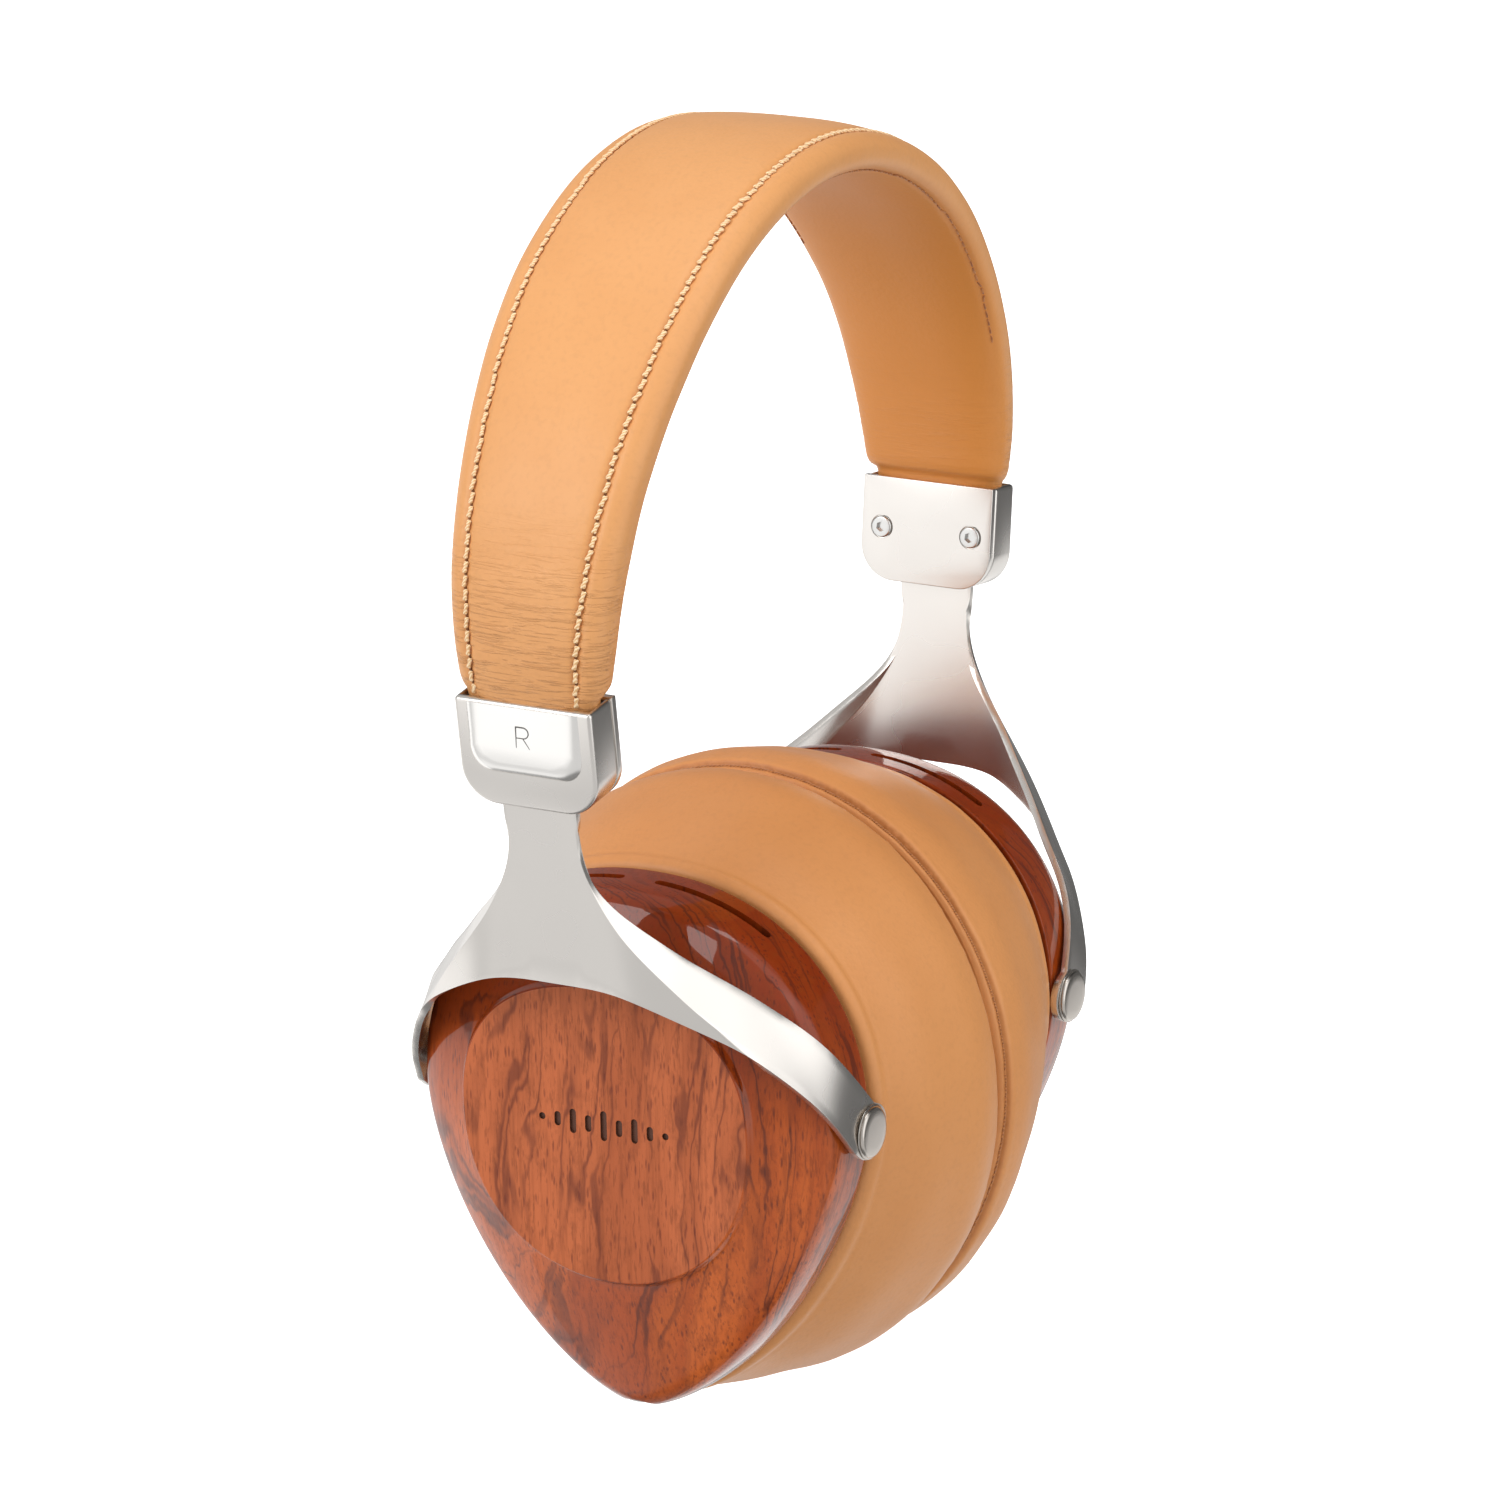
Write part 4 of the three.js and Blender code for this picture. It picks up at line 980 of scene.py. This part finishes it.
def build_cup_left():
    count = 288
    t, rim, face, _ = eggs(count)
    rim, face = soften(rim, 6), soften(face, 2)
    foot = face + 0.95
    rings = []
    for share in (0.02, 0.3, 0.55, 0.75, 0.88, 0.95):
        rings.append(on_egg(54.0, face * share, t))
    for x, out in ((54.0, -0.5), (54.0, -0.22), (53.95, -0.06), (53.82, 0.06), (53.3, 0.32),
                   (52.85, 0.56), (52.62, 0.74), (52.52, 0.95)):
        rings.append(on_egg(x, face + out, t))
    for x in np.linspace(52.3, 35.6, 46):
        g = float(monotone(SLOPE, [x])[0])
        rings.append(on_egg(x, rim + (foot - rim) * g, t))
    for x, out in ((35.25, -0.03), (35.02, -0.14), (34.92, -0.32), (34.9, -0.6), (34.9, -3.3),
                   (35.05, -3.65), (35.4, -3.8), (37.8, -3.8), (37.8, -8.5), (44.0, -9.0)):
        rings.append(on_egg(x, rim + out, t))
    rings.append(on_egg(48.6, (rim - 9) * 0.4 + (face - 2) * 0.6, t))
    rings.append(on_egg(50.2, face - 2, t))
    rings.append(on_egg(50.2, face * 0.02, t))
    cup = solid("cup_wood_l", np.vstack(rings), tube_faces(len(rings), count))
    vents = [solid("v", *prism(stadium(39.5, y, 0.85, 11, 10), PIVOT_Z + 24, PIVOT_Z + 46))
             for y in (14, -14)]
    hole = [(42 + 3.7 * math.cos(a), 3.7 * math.sin(a)) for a in circle(48)]
    inlet = solid("i", *prism(hole, PIVOT_Z - 66, PIVOT_Z - 46))
    carve(cup, vents + [inlet], 32)
    bars = [solid("b", *prism(stadium(y, PIVOT_Z - 0.6, 0.62, h, 6), MOTIF_X, 54.6,
                              lambda a, b, c: (c, a, b))) for y, h in MOTIF]
    carve(cup, bars, 32)
    return cup


def paint_cup(cup):
    """Satin on the raised face, dark in the motif, lacquer elsewhere."""
    mesh = cup.data
    for slot_material in (SATIN_WOOD, MARK):
        mesh.materials.append(slot_material)
    for poly in mesh.polygons:
        c = poly.center / MM
        if abs(abs(c.x) - MOTIF_X) < 0.05 and abs(poly.normal.x) > 0.9:
            poly.material_index = 2
        elif abs(c.x) > 53.4 and abs(poly.normal.x) > 0.97:
            poly.material_index = 1
        elif 53.4 < abs(c.x) < 54 and math.hypot(c.y, (c.z - PIVOT_Z + 0.6) * 3.5) < 14:
            poly.material_index = 2
    return cup


# ---- pads
PAD_LOOP = [
    # x, share of the pad outline, millimetres added
    (0.35, 0.50, 0), (0.42, 0.68, 0), (0.95, 0.81, 0), (2.3, 0.905, 0), (4.2, 0.97, 0), (6.8, 1.0, 0),
    (9.6, 0.97, 0), (12.6, 0.885, 0), (16.0, 0.785, 0), (20.5, 0.645, 0), (25.0, 0.45, 0),
    (29.0, 0.24, 0), (31.4, 0.10, 0.35), (32.9, 0.02, 0.3), (33.6, 0.0, -0.9), (33.7, 0.0, -4.0),
    (33.5, 0.0, -9.0),
    (33.0, 0.0, -13.6), (29.5, 0.0, -15.6), (22.0, 0.0, -15.8), (13.0, 0.0, -15.2),
    (6.5, 0.0, -14.2), (2.6, 0.0, -12.2), (0.8, 0.0, -8.6), (0.35, 0.0, -3.0)]


def pad_rings(count, steps):
    t, rim, _, pad = eggs(count)
    rim, pad = soften(rim, 10), soften(pad, 4)
    loop = natural(PAD_LOOP, steps, closed=True)
    rings = [on_egg(x, rim + (pad - rim) * g + out, t) for x, g, out in loop]
    return np.stack(rings), loop


def inflate(ob, pinned, frames=20, pressure=4.0):
    """Cloth under inner pressure; returns the settled points."""
    group = ob.vertex_groups.new(name="held")
    for weight, members in pinned:
        group.add(members, weight, "REPLACE")
    mod = ob.modifiers.new("cloth", "CLOTH")
    cloth = mod.settings
    cloth.quality = 6
    cloth.mass = 0.25
    cloth.tension_stiffness = cloth.compression_stiffness = 25
    cloth.bending_stiffness = 1.5
    cloth.use_pressure = True
    cloth.uniform_pressure_force = pressure
    cloth.vertex_group_mass = group.name
    cloth.pin_stiffness = 2.0
    cloth.effector_weights.gravity = 0
    mod.collision_settings.use_collision = False
    scene = bpy.context.scene
    scene.frame_start, scene.frame_end = 1, frames
    mod.point_cache.frame_start, mod.point_cache.frame_end = 1, frames
    for f in range(1, frames + 1):
        scene.frame_set(f)
    graph = bpy.context.evaluated_depsgraph_get()
    done = ob.evaluated_get(graph).to_mesh()
    points = np.empty(len(done.vertices) * 3)
    done.vertices.foreach_get("co", points)
    ob.modifiers.clear()
    ob.vertex_groups.clear()
    scene.frame_set(1)
    return points.reshape(-1, 3)


def fine_loop(dense):
    """Places along the pad's section, close together at the seam and beside the wood."""
    size = np.array([1.0, 9.0, 1.0])
    gap = np.linalg.norm((np.roll(dense, -1, 0) - dense) * size, axis=1)
    x, g, out = dense.T
    want = np.where((x < 4.6) & (g > 0.55), 0.26, np.where((x > 29) & (out > -2), 0.55, 1.7))
    want = want * 1.0
    run = np.r_[0, np.cumsum(gap / want)]
    return np.interp(np.arange(int(run[-1])) * run[-1] / int(run[-1]), run, np.arange(len(dense) + 1))


def spread(table, rows, cols):
    """Values of a closed grid between its points."""
    i, j = np.floor(rows).astype(int), np.floor(cols).astype(int)
    u, v = (rows - i)[:, None, None], (cols - j)[None, :, None]
    n, m = table.shape[:2]
    corners = [[table[(i + a) % n][:, (j + b) % m] for b in (0, 1)] for a in (0, 1)]
    return ((corners[0][0] * (1 - u) + corners[1][0] * u) * (1 - v)
            + (corners[0][1] * (1 - u) + corners[1][1] * u) * v)


HELD_FROM = 31.2  # x from which the baffle holds the pad


def build_pad_left():
    """A ring of foam under leather, blown up from a slightly smaller shape."""
    around, steps, dense = 120, 56, 1680
    rings, loop = pad_rings(around, steps)
    shift = np.zeros_like(rings)
    start = rings + (rings.mean(axis=0)[None] - rings) * 0.03
    ob = solid("pad_blank", start.reshape(-1, 3), grid_faces(steps, around, wrap_rows=True))
    members = [list(range(i * around, (i + 1) * around)) for i in range(steps)]
    hard = sum((m for m, x in zip(members, loop[:, 0]) if x > HELD_FROM), [])
    soft = sum((m for m, x in zip(members, loop[:, 0]) if x <= HELD_FROM), [])
    moved = inflate(ob, [(1.0, hard), (0.0, soft)]) / MM
    shift = moved.reshape(rings.shape) - rings
    size = np.linalg.norm(shift, axis=2)[:, :, None]
    shift *= np.minimum(1, 0.9 / np.maximum(size, 1e-6)) * 0.6
    bpy.data.objects.remove(ob)
    count = 540
    fine, table = pad_rings(count, dense)
    rows = fine_loop(table)
    grid = spread(fine, rows, np.arange(count, dtype=float))
    grid = grid + spread(shift, rows * steps / dense, np.arange(count) * around / count)
    grid[:, :, 0] = np.maximum(grid[:, :, 0], 0.33)
    faces = grid_faces(len(rows), count, wrap_rows=True)
    ob = solid("ear_cushion_l", grid.reshape(-1, 3), faces)
    pad_details(ob)
    return ob


def ring_angle(p):
    return math.atan2(p[2] - PIVOT_Z - EGG_C, p[1])


def seam_x(angle):
    """Where the face panel's seam runs, wandering a little."""
    return 1.95 + 0.22 * math.sin(2 * angle + 0.6) + 0.12 * math.sin(5 * angle)


FINE = 720


def pad_details(ob):
    """Presses in the sewn seam, its gathers, and the tuck beside the wood."""
    mesh = ob.data
    count = len(mesh.vertices)
    co, no = np.empty(count * 3), np.empty(count * 3)
    mesh.vertices.foreach_get("co", co)
    mesh.vertices.foreach_get("normal", no)
    co, no = co.reshape(-1, 3) / MM, no.reshape(-1, 3)
    _, rim, _, _ = eggs(FINE)
    for i in range(count):
        x, y, z = co[i]
        angle = ring_angle(co[i])
        radius = math.hypot(y, z - PIVOT_Z - EGG_C)
        k = int((angle + math.pi / 2) / (2 * math.pi) * FINE) % FINE
        if radius < rim[k] - 3:
            continue
        d = x - seam_x(angle)
        shift = -0.72 * math.exp(-(d / 0.42) ** 2) + 0.16 * math.exp(-((d - 1.3) / 0.8) ** 2)
        gather = noise.noise(Vector((angle * 27, x * 0.12, 1.7)))
        fade = 0.5 + 0.5 * noise.noise(Vector((angle * 1.7, 4.0, 0)))
        if -2 < d < 7:
            shift += 0.22 * gather * (0.4 + fade) * math.exp(-abs(d) / 1.5)
        shift += -0.16 * math.exp(-((x - 30.6) / 0.7) ** 2) + 0.12 * math.exp(-((x - 31.7) / 0.5) ** 2)
        shift += 0.16 * fractal((x, y, z), 17, 2.0, 2)
        co[i] += no[i] * shift
    co[:, 0] = np.maximum(co[:, 0], 0.3)
    mesh.vertices.foreach_set("co", (co * MM).ravel())
    shade(mesh)


def pad_stitches(pad):
    """Fine tonal stitches lying in the seam of a pad on the left side."""
    mesh = pad.data
    tree = BVHTree.FromPolygons([tuple(v.co / MM) for v in mesh.vertices],
                                [tuple(p.vertices) for p in mesh.polygons])
    line = []
    for angle in np.linspace(-math.pi, math.pi, 500):
        x = seam_x(angle)
        direction = Vector((0, math.cos(angle), math.sin(angle)))
        origin = Vector((x, 0, PIVOT_Z + EGG_C)) + direction * 90
        hit, normal, _, _ = tree.ray_cast(origin, -direction)
        if hit:
            line.append((np.array(hit), np.array(normal if normal.dot(direction) > 0 else -normal)))
    return seam_stitches(line, 2.1, 1.5, 0.22, 0.04, False, True)


def build_pads():
    left = build_pad_left()
    threads, holes = pad_stitches(left)
    stitches = joined("ear_cushion_stitches_l", threads)
    dots = joined("ear_cushion_needle_holes_l", holes)
    for ob, base, material, *nodes in (
            (left, "ear_cushion_", PAD_LEATHER, "ear_pad_", "ear_pad_face_"),
            (stitches, "ear_cushion_stitches_", TONAL),
            (dots, "ear_cushion_needle_holes_", NEEDLE_HOLE_SHADE)):
        pair = dress_pair(ob, base, material, "cup_", "leather", *nodes)
        for use, (_, side, word) in zip(pair, reversed(SIDES)):
            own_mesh(use)


# ---- pivots
def pivot_cap(sign):
    profile = [(0.02, 43.95), (2.6, 43.94), (3.7, 43.9), (4.05, 43.83), (4.3, 43.68), (4.42, 43.5),
               (4.45, 43.38), (4.36, 43.32), (4.3, 43.28), (4.36, 43.24), (4.62, 43.2), (4.78, 43.12),
               (4.8, 43.06), (4.7, 43.0), (1.5, 43.0), (1.3, 42.8), (1.3, 37.6), (0.02, 37.4)]
    points, faces = lathe_y([(r, sign * y) for r, y in profile], PIVOT_X, PIVOT_Z, 96)
    return solid("pivot_cap", points, faces, 40)


def build_cups():
    for cup in dress_pair(build_cup_left(), "cup_wood_", GLOSS_WOOD, "cup_", "wood", "cup_shell_"):
        paint_cup(cup)
    for sign, where in ((-1, "front_"), (1, "back_")):
        dress_pair(pivot_cap(sign), "pivot_cap_" + where, CAP, "cup_", "satin_metal",
                   "pivot_pin_" + where)


# ---- pieces kept from the frame
def build_inner():
    looks = {}
    for material, names in (
            (STEEL, "headband_spring detent_spring driver_magnet jack_socket"),
            (STEEL, "baffle_screw_front baffle_screw_back baffle_screw_low"),
            (PLASTIC, "slide_guide baffle driver_frame pad_ring"),
            (FILM, "driver_diaphragm"), (CLOTH, "driver_grille"), (FELT, "damping_felt")):
        looks.update((name, material) for name in names.split())
    for name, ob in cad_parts.items():
        base = name[:-2] if name[-2:] in ("_l", "_r") else name
        if base not in looks:
            continue
        ob.data.materials.clear()
        ob.data.materials.append(looks[base])
        if base in ("baffle", "jack_socket", "driver_grille", "driver_frame", "driver_magnet"):
            mod = ob.modifiers.new("edge", "BEVEL")
            mod.width, mod.segments, mod.limit_method = 0.15 * MM, 2, "ANGLE"
            mod.angle_limit = math.radians(40)


# ---- studio
# direction, cosine where it starts, cosine where it is full, how much it adds
WORLD_LOBES = [
    ((0.836, -0.483, -0.15), 0.50, 0.84, -0.42), ((0.55, -0.33, 0.77), 0.85, 0.90, -0.56),
    ((-0.12, -0.965, 0.23), 0.80, 0.92, 0.95), ((-0.10, -0.55, 0.83), 0.90, 0.95, 0.60),
    ((-0.40, 0.50, -0.77), 0.95, 0.99, 0.30), ((0.84, 0.32, 0.44), 0.84, 0.94, -0.32),
    ((-0.866, 0.5, -0.03), 0.86, 0.97, 0.68), ((0, 0, -1), 0.26, 0.34, 0.14),
    ((0, 0, -1), 0.80, 0.90, -0.45), ((0.235, 0.876, -0.42), 0.83, 0.845, 0.50),
    ((0.66, -0.20, -0.72), 0.86, 0.88, 0.70)]
WORLD_BASE = 0.55
# name, place, size, power, whether gloss sees it
LAMPS = [("key", (-1.1, 0.65, 0.75), (0.6, 0.8), 2.5, False),
         ("top", (0.1, 0.2, 1.35), (1, 1), 5.6, False),
         ("front_top", (0.3, -1.1, 0.8), (1, 1), 3.7, False),
         ("panel", (-1.24, 0.55, 0.73), (1.05, 0.6), 7.5, True),
         ("strip", (-0.13, -0.23, 1.36), (0.5, 0.22), 1.4, True)]
LAMP_TARGET = (0, 0, -0.12)
FLOOR_HALF, FLOOR_DROP = 14, 0.022


def area(name, place, target, size, power):
    data = bpy.data.lights.new(name, "AREA")
    data.shape, data.size, data.size_y = "RECTANGLE", size[0], size[1]
    data.energy = power
    ob = placed(name, data)
    ob.location = place
    ob.rotation_mode = "QUATERNION"
    ob.rotation_quaternion = (Vector(place) - Vector(target)).to_track_quat("Z", "Y")
    return ob


def build_studio():
    low = CAD_BOX[0][2] - FLOOR_DROP
    floor = bpy.data.meshes.new("floor")
    w = FLOOR_HALF
    floor.from_pydata([(-w, -w, low), (w, -w, low), (w, w, low), (-w, w, low)], [], [(0, 1, 2, 3)])
    ob = placed("floor", floor)
    n = Surface("floor_paper")
    n.set(Base_Color=(0.93, 0.93, 0.93, 1), Roughness=0.9, Specular_IOR_Level=0.0)
    n.set(Emission_Color=(1, 1, 1, 1), Emission_Strength=0.75)
    floor.materials.append(n.material)
    ob.visible_diffuse = ob.visible_glossy = False
    world = bpy.data.worlds.new("studio")
    bpy.context.scene.world = world
    world.use_nodes = True
    n = Nodes(world.node_tree, "Generated")
    level = WORLD_BASE
    for toward, start, end, amount in WORLD_LOBES:
        dot = n.node("ShaderNodeVectorMath", operation="DOT_PRODUCT")
        n.link(n.place, dot.inputs[0])
        dot.inputs[1].default_value = Vector(toward).normalized()
        part = n.node("ShaderNodeMath", operation="MULTIPLY_ADD")
        lobe = n.fit(dot.outputs["Value"], start, end)
        for socket, value in zip(part.inputs, (lobe, amount, level)):
            n.put(socket, value)
        level = part.outputs[0]
    sky = n.tree.nodes["Background"]
    n.link(n.math("MAXIMUM", level, 0.05), sky.inputs["Strength"])
    sky.inputs["Color"].default_value = (1, 1, 1, 1)
    for name, place, size, power, seen in LAMPS:
        area(name, place, LAMP_TARGET, size, power).visible_glossy = seen
    scene = bpy.context.scene
    scene.view_settings.view_transform = "Standard"
    scene.view_settings.look = "None"
    scene.view_settings.exposure = 0.0
    scene.view_settings.gamma = 1.0


build_headband()
build_clamps()
build_yokes()
build_cups()
build_pads()
build_inner()
build_studio()
